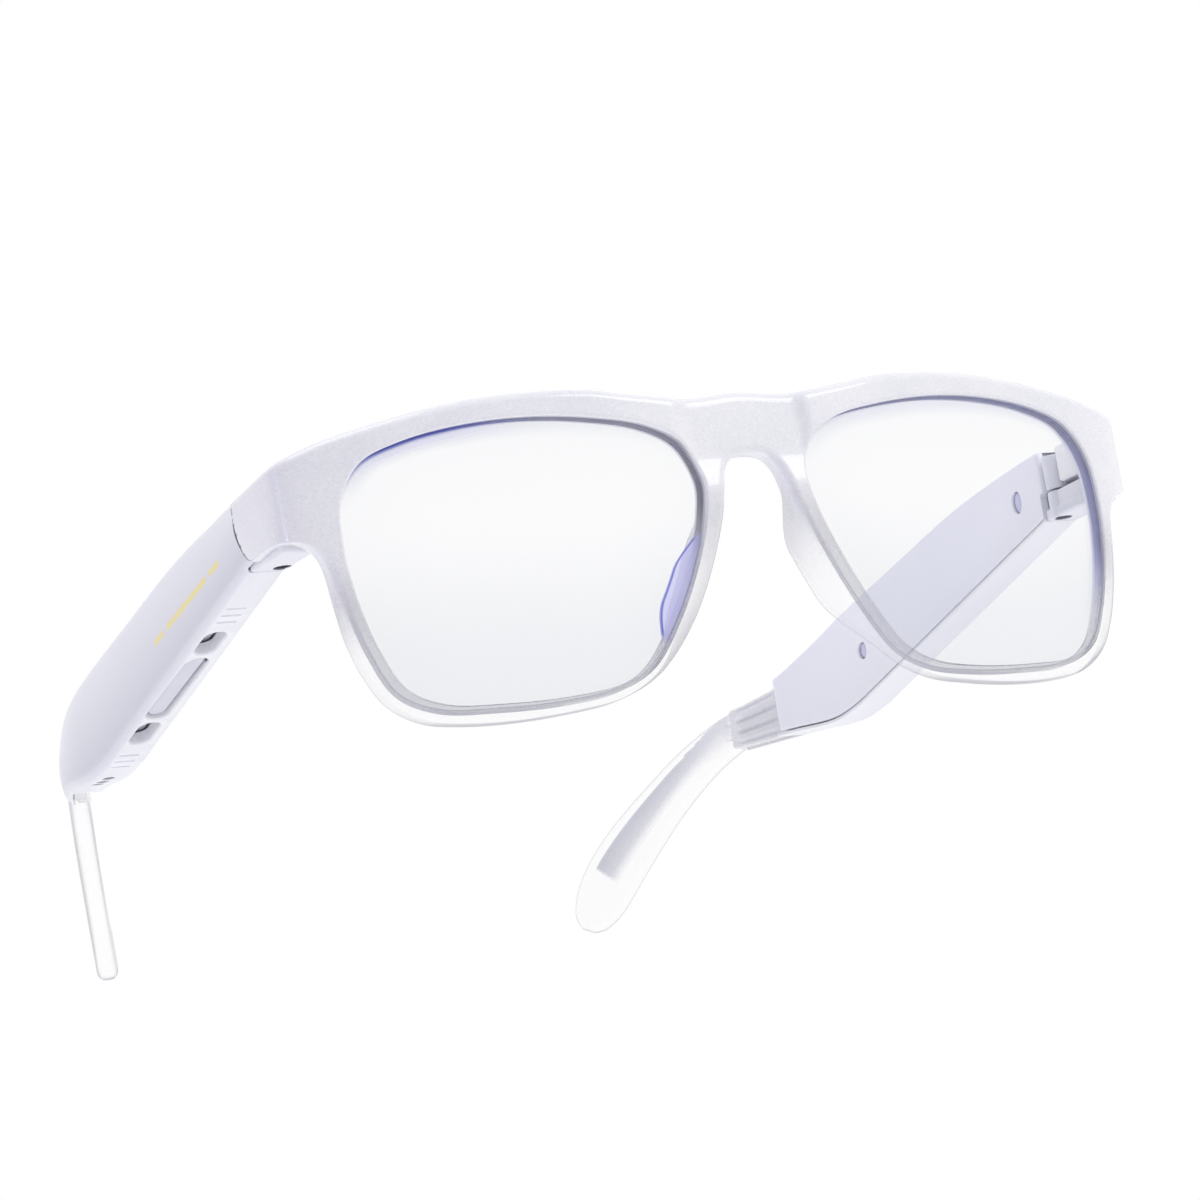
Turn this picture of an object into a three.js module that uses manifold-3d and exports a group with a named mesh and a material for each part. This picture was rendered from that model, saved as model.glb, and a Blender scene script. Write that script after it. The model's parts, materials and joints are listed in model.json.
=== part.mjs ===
// Smart glasses with folding temples, in millimetres: front faces -Y, temples run +Y, +Z up.
// Every piece is drawn for the +X side (the wearer's left) and mirrored for the other. Only the right
// temple has speaker ports, a button, grip grooves and charging contacts in its underside.
import * as THREE from "three";
import { mergeVertices } from "three/addons/utils/BufferGeometryUtils.js";
import Module from "manifold-3d";

const wasm = await Module();
wasm.setup();

// Front: rims, bridge, endpieces
const RIM_DEPTH = 4.2; // front to back
const GROOVE = 0.8; // how far the lens groove bites into the rim
const LENS_GRIP = 0.5; // how far the lens edge enters the groove
const LENS_T = 1.5;
const LENS_SET = 1.4; // lens face behind the rim face
const WALL = 1.3; // temple shell wall
const FLOOR = 2.0; // temple shell floor, along the underside
const SEAM = 0.35; // gap where front and temple meet
const GAP = 0.3; // gap between fixed pieces

// Temple section (at y = 26, before it leans and curves inwards)
const OUT_X = 71.9;
const IN_X = 64.9;
const COVER_T = 1.2;
const TOE = 0.0194; // inward lean of the straight run, per mm
const CURVE_Y = 100; // where the temple starts to curve inwards
const CURVE = 110;
const PITCH = 0.227; // fall of the underside per mm
const COLLAR_Y = 116.6;
const SHELL_END = 128;
const TIP_T = 3.6;

// Hinge
const AXIS_X = 66.4;
const AXIS_Y = 25.2;
const BARREL_R = 1.8;
const PIN_R = 0.75;
const KNUCKLE = [5.8, 10.6, 10.9, 16.2]; // front barrel from-to, temple barrel from-to

// How the whole object is turned so that rims and tips rest on z = 0
const REST_TILT = THREE.MathUtils.degToRad(3.25);

const X = new THREE.Vector3(1, 0, 0);
const Y = new THREE.Vector3(0, 1, 0);
const Z = new THREE.Vector3(0, 0, 1);
const SIDE = new THREE.Matrix4().makeBasis(Y, Z, X);
const FACE = new THREE.Matrix4().makeBasis(X, Z, Y.clone().negate());

function solid(geometry) {
  const bare = geometry.clone();
  bare.deleteAttribute("normal");
  bare.deleteAttribute("uv");
  const merged = mergeVertices(bare, 1e-4);
  return new wasm.Manifold(
    new wasm.Mesh({
      numProp: 3,
      vertProperties: new Float32Array(merged.attributes.position.array),
      triVerts: new Uint32Array(merged.index.array),
    }),
  );
}

function geometryOf(body) {
  const made = body.getMesh();
  const geometry = new THREE.BufferGeometry();
  geometry.setAttribute("position", new THREE.BufferAttribute(made.vertProperties, 3));
  geometry.setIndex(new THREE.BufferAttribute(made.triVerts, 1));
  const flat = geometry.toNonIndexed();
  flat.computeVertexNormals();
  return flat;
}

// An outline of [a, b] pairs pushed from one depth to another along the third axis.
function prism(points, from, to, basis) {
  const shape = new THREE.Shape(points.map((p) => new THREE.Vector2(p[0], p[1])));
  const made = new THREE.ExtrudeGeometry(shape, { depth: to - from, bevelEnabled: false });
  made.translate(0, 0, from);
  if (basis) made.applyMatrix4(basis);
  return solid(made);
}

function facePrism(points) {
  return prism(points, -40, 20, FACE);
}

function sidePrism(points, from, to) {
  return prism(points, from, to, SIDE);
}

function box(x0, x1, y0, y1, z0, z1) {
  const made = new THREE.BoxGeometry(x1 - x0, y1 - y0, z1 - z0);
  made.translate((x0 + x1) / 2, (y0 + y1) / 2, (z0 + z1) / 2);
  return solid(made);
}

function post(x, y, z0, z1, r, sides = 24) {
  const made = new THREE.CylinderGeometry(r, r, z1 - z0, sides);
  made.rotateX(Math.PI / 2);
  made.translate(x, y, (z0 + z1) / 2);
  return solid(made);
}

function smooth(points, closed, count) {
  const curve = new THREE.CatmullRomCurve3(
    points.map((p) => new THREE.Vector3(p[0], p[1], 0)),
    closed,
    "centripetal",
  );
  const out = curve.getPoints(count).map((p) => [p.x, p.y]);
  if (closed) out.pop();
  return out;
}

// A closed outline moved outwards along its own normals.
function grow(points, d) {
  return points.map((p, i) => {
    const a = points[(i + points.length - 1) % points.length];
    const b = points[(i + 1) % points.length];
    const l = Math.hypot(b[0] - a[0], b[1] - a[1]);
    return [p[0] + (d * (b[1] - a[1])) / l, p[1] - (d * (b[0] - a[0])) / l];
  });
}

function move(geometry, change) {
  const at = geometry.attributes.position;
  for (let i = 0; i < at.count; i++) {
    const p = new THREE.Vector3().fromBufferAttribute(at, i);
    change(p);
    at.setXYZ(i, p.x, p.y, p.z);
  }
  return geometry;
}

// The curved face of the front: y for a place on it.
function frontY(x, z) {
  return 6.8 * (x / 58.2) ** 2 + 0.94 * (z / 19.4) ** 2 + (x / 58.2) ** 4;
}

function frontSheet(x0, x1, z0, z1, near, far, nx, nz) {
  const made = new THREE.BoxGeometry(x1 - x0, far - near, z1 - z0, nx, 1, nz);
  made.translate((x0 + x1) / 2, (near + far) / 2, (z0 + z1) / 2);
  return solid(move(made, (p) => (p.y += frontY(p.x, p.z))));
}

// Sideways shift of the temple at y: a slight lean, then a curve inwards.
function lateral(y) {
  const past = Math.max(0, y - CURVE_Y);
  return -TOE * (y - 26) - (past * past) / CURVE;
}

function templeSheet(x0, x1, y0, y1, shift = lateral) {
  const count = Math.max(2, Math.round((y1 - y0) / 4));
  const made = new THREE.BoxGeometry(x1 - x0, y1 - y0, 80, 1, count, 1);
  made.translate((x0 + x1) / 2, (y0 + y1) / 2, 0);
  return solid(move(made, (p) => (p.x += shift(p.y))));
}

// Side view of the temple: top and bottom edges, front to back.
const TOP = smooth(
  [[28, 17.5], [40, 16.6], [49, 15.7], [58, 14.4], [76, 11], [96, 7.1], [108, 4], [116, 1.5], [128, -0.7]],
  false,
  22,
);
const BOTTOM = smooth(
  [[98, -9.6], [110, -8.6], [119, -7.9], [128, -7.8]],
  false,
  6,
);

function underside(y) {
  return 6.2 - PITCH * (y - 29.2);
}

function templeOutline(from, to, roof, floor) {
  const top = TOP.filter((p) => p[0] > from && p[0] < to).map((p) => [p[0], p[1] - roof]);
  const tail = BOTTOM.filter((p) => p[0] > from && p[0] < to).map((p) => [p[0], p[1] + floor]);
  const at = (line, y) => {
    const i = line.findIndex((p) => p[0] >= y);
    const [a, b] = [line[i - 1], line[i]];
    return a[1] + ((b[1] - a[1]) * (y - a[0])) / (b[0] - a[0]);
  };
  const end = [
    [to, at(TOP, to) - roof],
    [to, at(BOTTOM, to) + floor],
  ];
  const start = [
    [from, (from < 98 ? underside(from) : at(BOTTOM, from)) + floor],
    [from, (from > 28.1 ? at(TOP, from) : 17.5) - roof],
  ];
  return [...top, ...end, ...tail.reverse(), ...start].reverse();
}

// Where the front and the temple meet, seen from the side, bottom to top.
const SEAM_LINE = [[23.6, 6.6], [25, 7.6], [26.5, 9.9], [27.4, 11.8], [28, 14.5], [28.2, 19]];

// Lens openings, anticlockwise from the temple side.
const OPENING = smooth(
  [
    [63.4, 5], [62.6, 12.5], [59.2, 17.5], [53, 20], [44, 21.5], [34, 21.8], [24, 20.8],
    [16, 19], [11, 16], [8.7, 10.5], [9.4, 5.2], [12, -1.8], [16.2, -9.8], [21, -16.2],
    [26, -18.8], [34, -19.9], [44, -19.9], [52.5, -19], [57.6, -16.2], [60.5, -10.7], [62.6, -3],
  ],
  true,
  63,
);

// Outside of the front from the middle of the bridge, over the top and back underneath.
const HALF_FRONT = smooth(
  [
    [0, 23.4], [8.5, 22.9], [18.2, 24.2], [24, 25.2], [32, 25.6], [41, 25.4], [50.3, 24.3],
    [59.4, 22.6], [64.2, 21.6], [67.3, 20.5], [69.2, 18.3], [70.2, 13], [69.8, 8.4], [67.6, 6.6],
    [66.2, 4.2], [65.1, -3.3], [63.9, -8.4], [62.2, -13.4], [59.5, -17.9], [55, -20.9], [49.5, -22],
    [42, -22.4], [33, -21.9], [26, -20.8], [20.6, -18.3], [17, -15], [13.2, -10], [10.4, -5],
    [8.1, 0], [6.2, 5], [5.2, 9], [4.4, 11.6], [2.8, 13.4], [0, 13.9],
  ],
  false,
  80,
);
const FRONT_OUTLINE = [
  ...HALF_FRONT,
  ...HALF_FRONT.slice(1, -1).reverse().map((p) => [-p[0], p[1]]),
].reverse();

function mirrored(points) {
  return points.map((p) => [-p[0], p[1]]).reverse();
}

function endpiece() {
  const plan = [
    [63, 11], [67.5, 12.3], [69.8, 13.2], [71, 14.4], [71.7, 16.6], [OUT_X, 20], [OUT_X - 0.1, 30],
    [68.8, 30], [68.8, 16], [66.5, 15.6], [63, 14],
  ];
  const side = [
    [8, 7.2], [16, 7.7], [22, 7.2], ...SEAM_LINE.slice(1, 5), [28.2, 17.3], [24, 17.9],
    [16, 18.9], [12, 20.8], [8, 22],
  ];
  const wrap = prism(plan, 4, 24).intersect(sidePrism(side, 60, 75));
  return wrap.add(box(65, 69.5, 14.5, 22.9, 11.3, 17.2));
}

// Nose pad: the nasal edge of the rim carried backwards as a rounded flange.
function nosePad() {
  const edge = smooth([[20.6, -18.3], [17, -15], [13.2, -10], [10.4, -5], [8.1, 0], [6.2, 5], [5.3, 8.6]], false, 14);
  const back = edge.map((p, i) => [p[0] + 1.9 + 0.02 * i, p[1] + 1.1]).reverse();
  const side = smooth([[2, 9.5], [6.5, 7], [9.2, 0], [9.6, -7], [8.2, -13], [5, -17.2], [2.4, -19]], false, 14);
  return facePrism([...edge, ...back]).intersect(sidePrism([[1.5, -19], [1.5, 9.5], ...side].reverse(), 0, 40));
}

function frontFrame() {
  let made = frontSheet(-74, 74, -25, 28, 0, RIM_DEPTH, 40, 8).intersect(facePrism(FRONT_OUTLINE));
  const groove = frontSheet(0, 70, -26, 28, LENS_SET - GAP, LENS_SET + LENS_T + GAP, 10, 6);
  const flat = geometryOf(endpiece().add(nosePad()));
  const cut = geometryOf(facePrism(OPENING).add(groove.intersect(facePrism(grow(OPENING, GROOVE)))));
  for (const side of [1, -1]) {
    for (const [piece, join] of [[flat, true], [cut, false]]) {
      const copy = piece.clone();
      if (side < 0) {
        copy.scale(-1, 1, 1);
        const at = copy.attributes.position.array;
        for (let i = 0; i < at.length; i += 9)
          for (let k = 0; k < 3; k++) [at[i + k], at[i + 3 + k]] = [at[i + 3 + k], at[i + k]];
      }
      made = join ? made.add(solid(copy)) : made.subtract(solid(copy));
    }
  }
  return made;
}

function lens() {
  return frontSheet(0, 70, -26, 28, LENS_SET, LENS_SET + LENS_T, 10, 8).intersect(
    facePrism(grow(OPENING, LENS_GRIP)),
  );
}

function hingeFrontLeaf() {
  const [from, to] = KNUCKLE;
  const arm = box(65, 68.2, 16.3, AXIS_Y, from, to);
  return arm
    .add(post(AXIS_X, AXIS_Y, from, to, BARREL_R))
    .subtract(post(AXIS_X, AXIS_Y, from - 1, to + 1, PIN_R + GAP, 16))
    .subtract(post(AXIS_X, AXIS_Y, from - 1, from + 1.2, 1.35, 16));
}

function hingeTempleLeaf() {
  const [, , from, to] = KNUCKLE;
  const tongue = box(66.7, 68, AXIS_Y, 37, from + 0.4, to - 1.6);
  return tongue
    .add(post(AXIS_X, AXIS_Y, from, to, BARREL_R))
    .subtract(post(AXIS_X, AXIS_Y, from - 1, to - 0.8, PIN_R + GAP, 16));
}

function hingeScrew() {
  const [from, , , to] = KNUCKLE;
  return post(AXIS_X, AXIS_Y, from + 0.1, from + 0.9, 1.05, 16).add(
    post(AXIS_X, AXIS_Y, from + 0.5, to - 1.1, PIN_R, 16),
  );
}

// Places on the temple underside, in a frame that runs along it: local +Z goes into the temple.
const UNDER_X = 68.4;
const TURN = -Math.atan(PITCH);

function under(geometry, y) {
  geometry.rotateX(TURN);
  geometry.translate(UNDER_X + lateral(y), y, underside(y));
  return solid(geometry);
}

function pill(length, width, z0, z1) {
  const r = width / 2;
  const h = length / 2 - r;
  const shape = new THREE.Shape();
  shape.moveTo(-r, -h);
  shape.absarc(0, -h, r, Math.PI, 2 * Math.PI, false);
  shape.absarc(0, h, r, 0, Math.PI, false);
  const made = new THREE.ExtrudeGeometry(shape, { depth: z1 - z0, bevelEnabled: false, curveSegments: 8 });
  made.translate(0, 0, z0);
  return made;
}

function block(w, l, z0, z1) {
  const made = new THREE.BoxGeometry(w, l, z1 - z0);
  made.translate(0, 0, (z0 + z1) / 2);
  return made;
}

const PORTS = [51.3, 82];
const BUTTON_Y = 66.6;
const FINS = [39.8, 42, 44.2, 89.6, 91.8, 94];
const CONTACTS = [100, 102.8, 105.6];

function contactPost(y, r, z0, z1) {
  return post(UNDER_X - 0.2 + lateral(y), y, -9.6 + 0.085 * (y - 98) + z0, -9.6 + 0.085 * (y - 98) + z1, r, 16);
}

function templeShell(side) {
  const outline = templeOutline(20, SHELL_END, 0, 0);
  let made = templeSheet(IN_X + COVER_T + GAP, OUT_X, 20, 132).intersect(sidePrism(outline, 40, 90));
  const hollow = templeOutline(30, 115, WALL, FLOOR);
  made = made.subtract(templeSheet(60, OUT_X - WALL, 29, 116).intersect(sidePrism(hollow, 40, 90)));
  // the tail keeps its outer wall only, so that the collar can sit against it
  made = made.subtract(templeSheet(50, OUT_X - 1.6, COLLAR_Y - GAP, 134));
  const seam = SEAM_LINE.map((p) => [p[0] + SEAM, p[1] - 0.1]);
  made = made.subtract(sidePrism([[10, 4], [23.4, 4], ...seam, [28.5, 22], [10, 22]], 50, 90));
  made = made.subtract(box(60, 68.9, 20, AXIS_Y + 2.4, 0, 22));
  made = made.subtract(box(64, 68.6, 27, 31, 10.9, 15.2));
  if (side === "left") return made;
  for (const y of PORTS) made = made.subtract(under(pill(7.6, 3.4, -2, 4), y));
  made = made.subtract(under(pill(21.2, 3.7, -2, 4), BUTTON_Y));
  for (const y of FINS) made = made.subtract(under(block(3.4, 0.6, -1, 0.5), y));
  for (const y of CONTACTS) made = made.subtract(contactPost(y, 1, -2, 4));
  return made;
}

function templeCover() {
  const outline = templeOutline(AXIS_Y + 2.3, COLLAR_Y - 1, 0, 0);
  let made = templeSheet(IN_X, IN_X + COVER_T, 20, 130).intersect(sidePrism(outline, 40, 90));
  made = made.subtract(box(60, 70, 20, 28.4, 5, 11));
  for (const [y, z, h] of PLUGS) made = made.subtract(plug(y, z, h, 0.2, 2));
  return made;
}

// Two oval windows set into the inner face: place along the temple, height, half height.
const PLUGS = [[35.3, 11.4, 1.6], [88.8, 0.2, 1.2]];

function plug(y, z, half, extra, depth) {
  const shape = new THREE.Shape();
  shape.absellipse(y, z, 1.1 + extra, half + extra, 0, 2 * Math.PI, false, 0);
  const made = new THREE.ExtrudeGeometry(shape, { depth, bevelEnabled: false, curveSegments: 8 });
  made.applyMatrix4(SIDE);
  made.translate(IN_X + lateral(y) + (extra ? -0.4 : 0.3), 0, 0);
  return solid(made);
}

// The tip: centre line seen from above, then its outline seen from the side.
function tipShift(y) {
  return 61.2 - 0.39 * (y - 126) - 0.001 * (y - 126) ** 2;
}

const TIP_LINE = [
  [128.3, -4.3, 3.5], [131, -5.1, 3.5], [135, -6.6, 3.6], [140, -9.1, 3.9], [145, -12.2, 4.2],
  [150, -15.7, 4.7], [155, -19.5, 5.1], [159, -23, 5.2], [162.4, -26.7, 4.6], [164.3, -29.4, 2.6],
];

function tipOutline() {
  const upper = [];
  const lower = [];
  TIP_LINE.forEach(([y, z, half], i) => {
    const a = TIP_LINE[Math.max(0, i - 1)];
    const b = TIP_LINE[Math.min(TIP_LINE.length - 1, i + 1)];
    const l = Math.hypot(b[0] - a[0], b[1] - a[1]);
    const n = i ? [-(b[1] - a[1]) / l, (b[0] - a[0]) / l] : [0, 1];
    upper.push([y + half * n[0], z + half * n[1]]);
    lower.push([y - half * n[0], z - half * n[1]]);
  });
  const curve = smooth([...lower, [165, -31.2], ...upper.reverse()], false, 44);
  return curve;
}

function templeTip() {
  const body = templeSheet(-TIP_T / 2, TIP_T / 2, 126, 172, tipShift).intersect(sidePrism(tipOutline(), 20, 90));
  return body.add(templeSheet(-0.5, 0.5, 122, 131, (y) => COLLAR_MID + lateral(y)).intersect(
    sidePrism([[122, -5.6], [131, -5.6], [131, -3], [122, -3]], 20, 90),
  ));
}

const COLLAR_MID = OUT_X - 1.6 - GAP - 1.5;

function tipCollar() {
  const outline = templeOutline(COLLAR_Y - 3, SHELL_END, 0.2, 0.2);
  let made = templeSheet(COLLAR_MID - 1.5, COLLAR_MID + 1.5, COLLAR_Y, SHELL_END, lateral);
  made = made.intersect(sidePrism(outline, 20, 90));
  for (const z of [-2.6, -5.9])
    made = made.subtract(
      templeSheet(COLLAR_MID - 2, COLLAR_MID - 1.1, COLLAR_Y + 2, SHELL_END - 1.5, lateral).intersect(
        sidePrism([[110, z], [130, z], [130, z + 0.8], [110, z + 0.8]], 20, 90),
      ),
    );
  return made.subtract(
    templeSheet(COLLAR_MID - 0.8, COLLAR_MID + 0.8, 121.7, 132, lateral).intersect(
      sidePrism([[121.7, -5.9], [132, -5.9], [132, -2.7], [121.7, -2.7]], 20, 90),
    ),
  );
}

// Inside the temple: everything sits between the cover and the outer wall.
function inside(x0, x1, y, length, z0, z1) {
  const made = new THREE.BoxGeometry(x1 - x0, length, z1 - z0);
  made.translate((x0 + x1) / 2 - UNDER_X, 0, (z0 + z1) / 2);
  return under(made, y);
}

const pieces = [
  ["lens", lens],
  ["hinge_front_leaf", hingeFrontLeaf],
  ["hinge_temple_leaf", hingeTempleLeaf],
  ["hinge_screw", hingeScrew],
  ["temple_shell", templeShell],
  ["temple_cover", templeCover],
  ["tip_collar", tipCollar],
  ["temple_tip", templeTip],
  ["sensor_window_front", () => plug(...PLUGS[0], 0, COVER_T - 0.3)],
  ["sensor_window_rear", () => plug(...PLUGS[1], 0, COVER_T - 0.3)],
  ["button", () => under(pill(20.4, 2.9, 0.6, 2.8), BUTTON_Y)],
  ["button_switch", () => under(new THREE.CylinderGeometry(1.3, 1.5, 0.6, 16).rotateX(Math.PI / 2).translate(0, 0, 3.6), BUTTON_Y)],
  ["button_board", () => inside(66.8, 70.1, BUTTON_Y, 17, 4.2, 4.9)],
  ["speaker_front", () => inside(66.8, 70.1, PORTS[0], 9.6, 2.4, 6.2)],
  ["speaker_rear", () => inside(66.8, 70.1, PORTS[1], 9.6, 2.4, 6.2)],
  ["battery", () => inside(66.8, 70.1, 74, 32, 7, 12.4)],
  ["circuit_board", () => inside(66.9, 67.8, 47.5, 17, 6.8, 11.2)],
  ["processor", () => inside(68.1, 69.2, 47.5, 7, 7.4, 10.8)],
  ["flex_cable", () => inside(66.8, 69.2, 79.5, 34, 12.7, 13.1)],
  ["contact_block", () => inside(66.8, 69.6, 102.8, 9, 3.6 + 2.4, 5.6 + 2.4)],
];

const LOOKS = {
  front_frame: [0xe9ebf6, 0.3, 0],
  lens: [0xdde2f2, 0.05, 0],
  hinge_front_leaf: [0xe6e8f2, 0.35, 0],
  hinge_temple_leaf: [0xe6e8f2, 0.35, 0],
  hinge_screw: [0xb9bcc2, 0.3, 1],
  temple_shell: [0xeceef6, 0.35, 0],
  temple_cover: [0xe4e6f2, 0.4, 0],
  tip_collar: [0xd7d9e4, 0.4, 0],
  temple_tip: [0xeff1f5, 0.08, 0],
  sensor_window: [0xc9c8e6, 0.3, 0],
  button: [0xd3d5e2, 0.4, 0],
  button_switch: [0xc4c6ca, 0.35, 1],
  button_board: [0x1f6a4a, 0.6, 0],
  speaker: [0x35363d, 0.6, 0],
  battery: [0x9fa3ab, 0.4, 0.3],
  circuit_board: [0x1f6a4a, 0.6, 0],
  processor: [0x2a2b30, 0.5, 0],
  flex_cable: [0xb5822f, 0.5, 0],
  contact_block: [0xdfe1ea, 0.5, 0],
  contact_pin: [0x6a6c74, 0.3, 1],
};

function look(name) {
  const key = Object.keys(LOOKS).filter((k) => name.startsWith(k)).sort((a, b) => b.length - a.length)[0];
  const [color, roughness, metalness] = LOOKS[key];
  return new THREE.MeshStandardMaterial({ color, roughness, metalness });
}

const group = new THREE.Group();
CONTACTS.forEach((y, i) => pieces.push(["contact_pin_" + (i + 1), () => contactPost(y, 0.75, 0.1, 2.9)]));
const RIGHT_ONLY = ["button", "button_switch", "button_board", "contact_block"];
CONTACTS.forEach((y, i) => RIGHT_ONLY.push("contact_pin_" + (i + 1)));
const front = new THREE.Mesh(geometryOf(frontFrame()), look("front_frame"));
front.name = "front_frame";
group.add(front);
for (const [name, make] of pieces) {
  for (const [side, sign] of [["left", 1], ["right", -1]]) {
    if (side === "left" && RIGHT_ONLY.includes(name)) continue;
    const mesh = new THREE.Mesh(geometryOf(make(side)), look(name));
    mesh.name = name + "_" + side;
    mesh.scale.x = sign;
    group.add(mesh);
  }
}

// Rest the rims and tips on z = 0 with the middle of the box over the origin.
group.rotation.x = REST_TILT;
group.updateMatrixWorld(true);
const bounds = new THREE.Box3().setFromObject(group, true);
group.position.y = -(bounds.min.y + bounds.max.y) / 2;
group.position.z = -bounds.min.z;
group.updateMatrixWorld(true);

const root = new THREE.Group();
root.add(group);
export default root;
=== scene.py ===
# Smart glasses in satin pearl and clear plastic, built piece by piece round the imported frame.
# Shapes are drawn in the object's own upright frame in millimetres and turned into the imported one.
import json
import math

import bmesh
import bpy
import numpy as np
from mathutils import Matrix, Vector


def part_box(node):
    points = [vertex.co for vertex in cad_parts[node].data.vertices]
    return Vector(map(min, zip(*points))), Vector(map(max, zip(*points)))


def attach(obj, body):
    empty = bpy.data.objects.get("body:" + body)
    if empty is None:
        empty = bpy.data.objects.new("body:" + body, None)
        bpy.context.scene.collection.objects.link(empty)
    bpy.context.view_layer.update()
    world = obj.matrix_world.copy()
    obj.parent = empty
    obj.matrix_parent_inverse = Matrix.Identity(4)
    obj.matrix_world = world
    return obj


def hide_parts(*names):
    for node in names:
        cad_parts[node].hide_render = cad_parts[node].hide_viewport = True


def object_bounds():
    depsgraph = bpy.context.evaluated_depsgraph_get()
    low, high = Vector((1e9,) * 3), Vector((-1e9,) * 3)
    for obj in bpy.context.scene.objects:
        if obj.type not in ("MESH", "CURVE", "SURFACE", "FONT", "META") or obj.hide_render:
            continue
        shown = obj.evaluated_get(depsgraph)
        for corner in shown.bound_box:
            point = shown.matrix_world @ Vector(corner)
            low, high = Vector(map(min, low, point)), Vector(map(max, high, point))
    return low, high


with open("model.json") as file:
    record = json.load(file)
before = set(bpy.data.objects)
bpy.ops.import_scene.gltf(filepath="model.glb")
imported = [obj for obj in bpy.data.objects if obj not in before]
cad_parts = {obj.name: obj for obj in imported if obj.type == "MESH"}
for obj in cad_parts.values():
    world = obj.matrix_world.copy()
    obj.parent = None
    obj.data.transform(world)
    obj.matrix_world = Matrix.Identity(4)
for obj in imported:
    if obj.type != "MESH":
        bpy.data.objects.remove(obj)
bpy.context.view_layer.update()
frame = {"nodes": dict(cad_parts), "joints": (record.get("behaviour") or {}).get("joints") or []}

# ---------------------------------------------------------------------------------------------
# Front: one moulding of rims, bridge, nose pads and the endpieces that turn back to the hinges.
# It is clear plastic, sprayed pearl white over its upper half so that the lower rims and the
# nose pads stay clear. The lenses snap into a groove that runs round each opening.

HINGE = next(j for j in frame["joints"] if j["name"] == "left_temple_fold")
HINGE_POINT = Vector((66.4, 25.2, 10.7))
REST_TILT = 3.25
MILLIMETRE = 0.001
TO_FRAME = (
    Matrix.Translation(Vector(HINGE["pos_m"]))
    @ Matrix.Rotation(math.radians(REST_TILT), 4, "X")
    @ Matrix.Scale(MILLIMETRE, 4)
    @ Matrix.Translation(-HINGE_POINT)
)


SPLINE_STEPS = 14


def spline(points, closed=False, steps=SPLINE_STEPS):
    """A smooth line through the points, even where they are unevenly spaced."""
    p = np.array(points, float)
    ends = [p[-1:], p, p[:2]] if closed else [2 * p[:1] - p[1:2], p, 2 * p[-1:] - p[-2:-1]]
    ring = np.vstack(ends)
    t = (np.arange(steps) / steps)[:, None]
    out = []
    for i in range(len(p) if closed else len(p) - 1):
        a, b, c, d = ring[i : i + 4]
        t0, t1, t2 = (max(np.linalg.norm(v) ** 0.5, 1e-4) for v in (b - a, c - b, d - c))
        m1 = ((b - a) / t0 - (c - a) / (t0 + t1) + (c - b) / t1) * t1
        m2 = ((c - b) / t1 - (d - b) / (t1 + t2) + (d - c) / t2) * t1
        out.append(b + m1 * t + (3 * (c - b) - 2 * m1 - m2) * t**2 + (2 * (b - c) + m1 + m2) * t**3)
    if not closed:
        out.append(p[-1:])
    return np.vstack(out)


def spaced(line, count, closed=False):
    """The same line again as evenly spaced points."""
    line = np.array(line, float)
    if closed:
        line = np.vstack([line, line[:1]])
    run = np.concatenate([[0], np.cumsum(np.linalg.norm(np.diff(line, axis=0), axis=1))])
    at = np.linspace(0, run[-1], count + 1 if closed else count)
    out = np.stack([np.interp(at, run, line[:, k]) for k in range(line.shape[1])], 1)
    return out[:-1] if closed else out


def normals_of(line, closed=False):
    """Unit normals to the right of the direction of travel."""
    if closed:
        step = np.roll(line, -1, 0) - np.roll(line, 1, 0)
    else:
        step = np.gradient(line, axis=0)
    n = np.stack([step[:, 1], -step[:, 0]], 1)
    return n / np.linalg.norm(n, axis=1)[:, None]


def ease(x, low, high):
    """0 below low, 1 above high, and a smooth rise between them."""
    t = np.clip((np.asarray(x, float) - low) / (high - low), 0, 1)
    return t * t * (3 - 2 * t)


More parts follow.
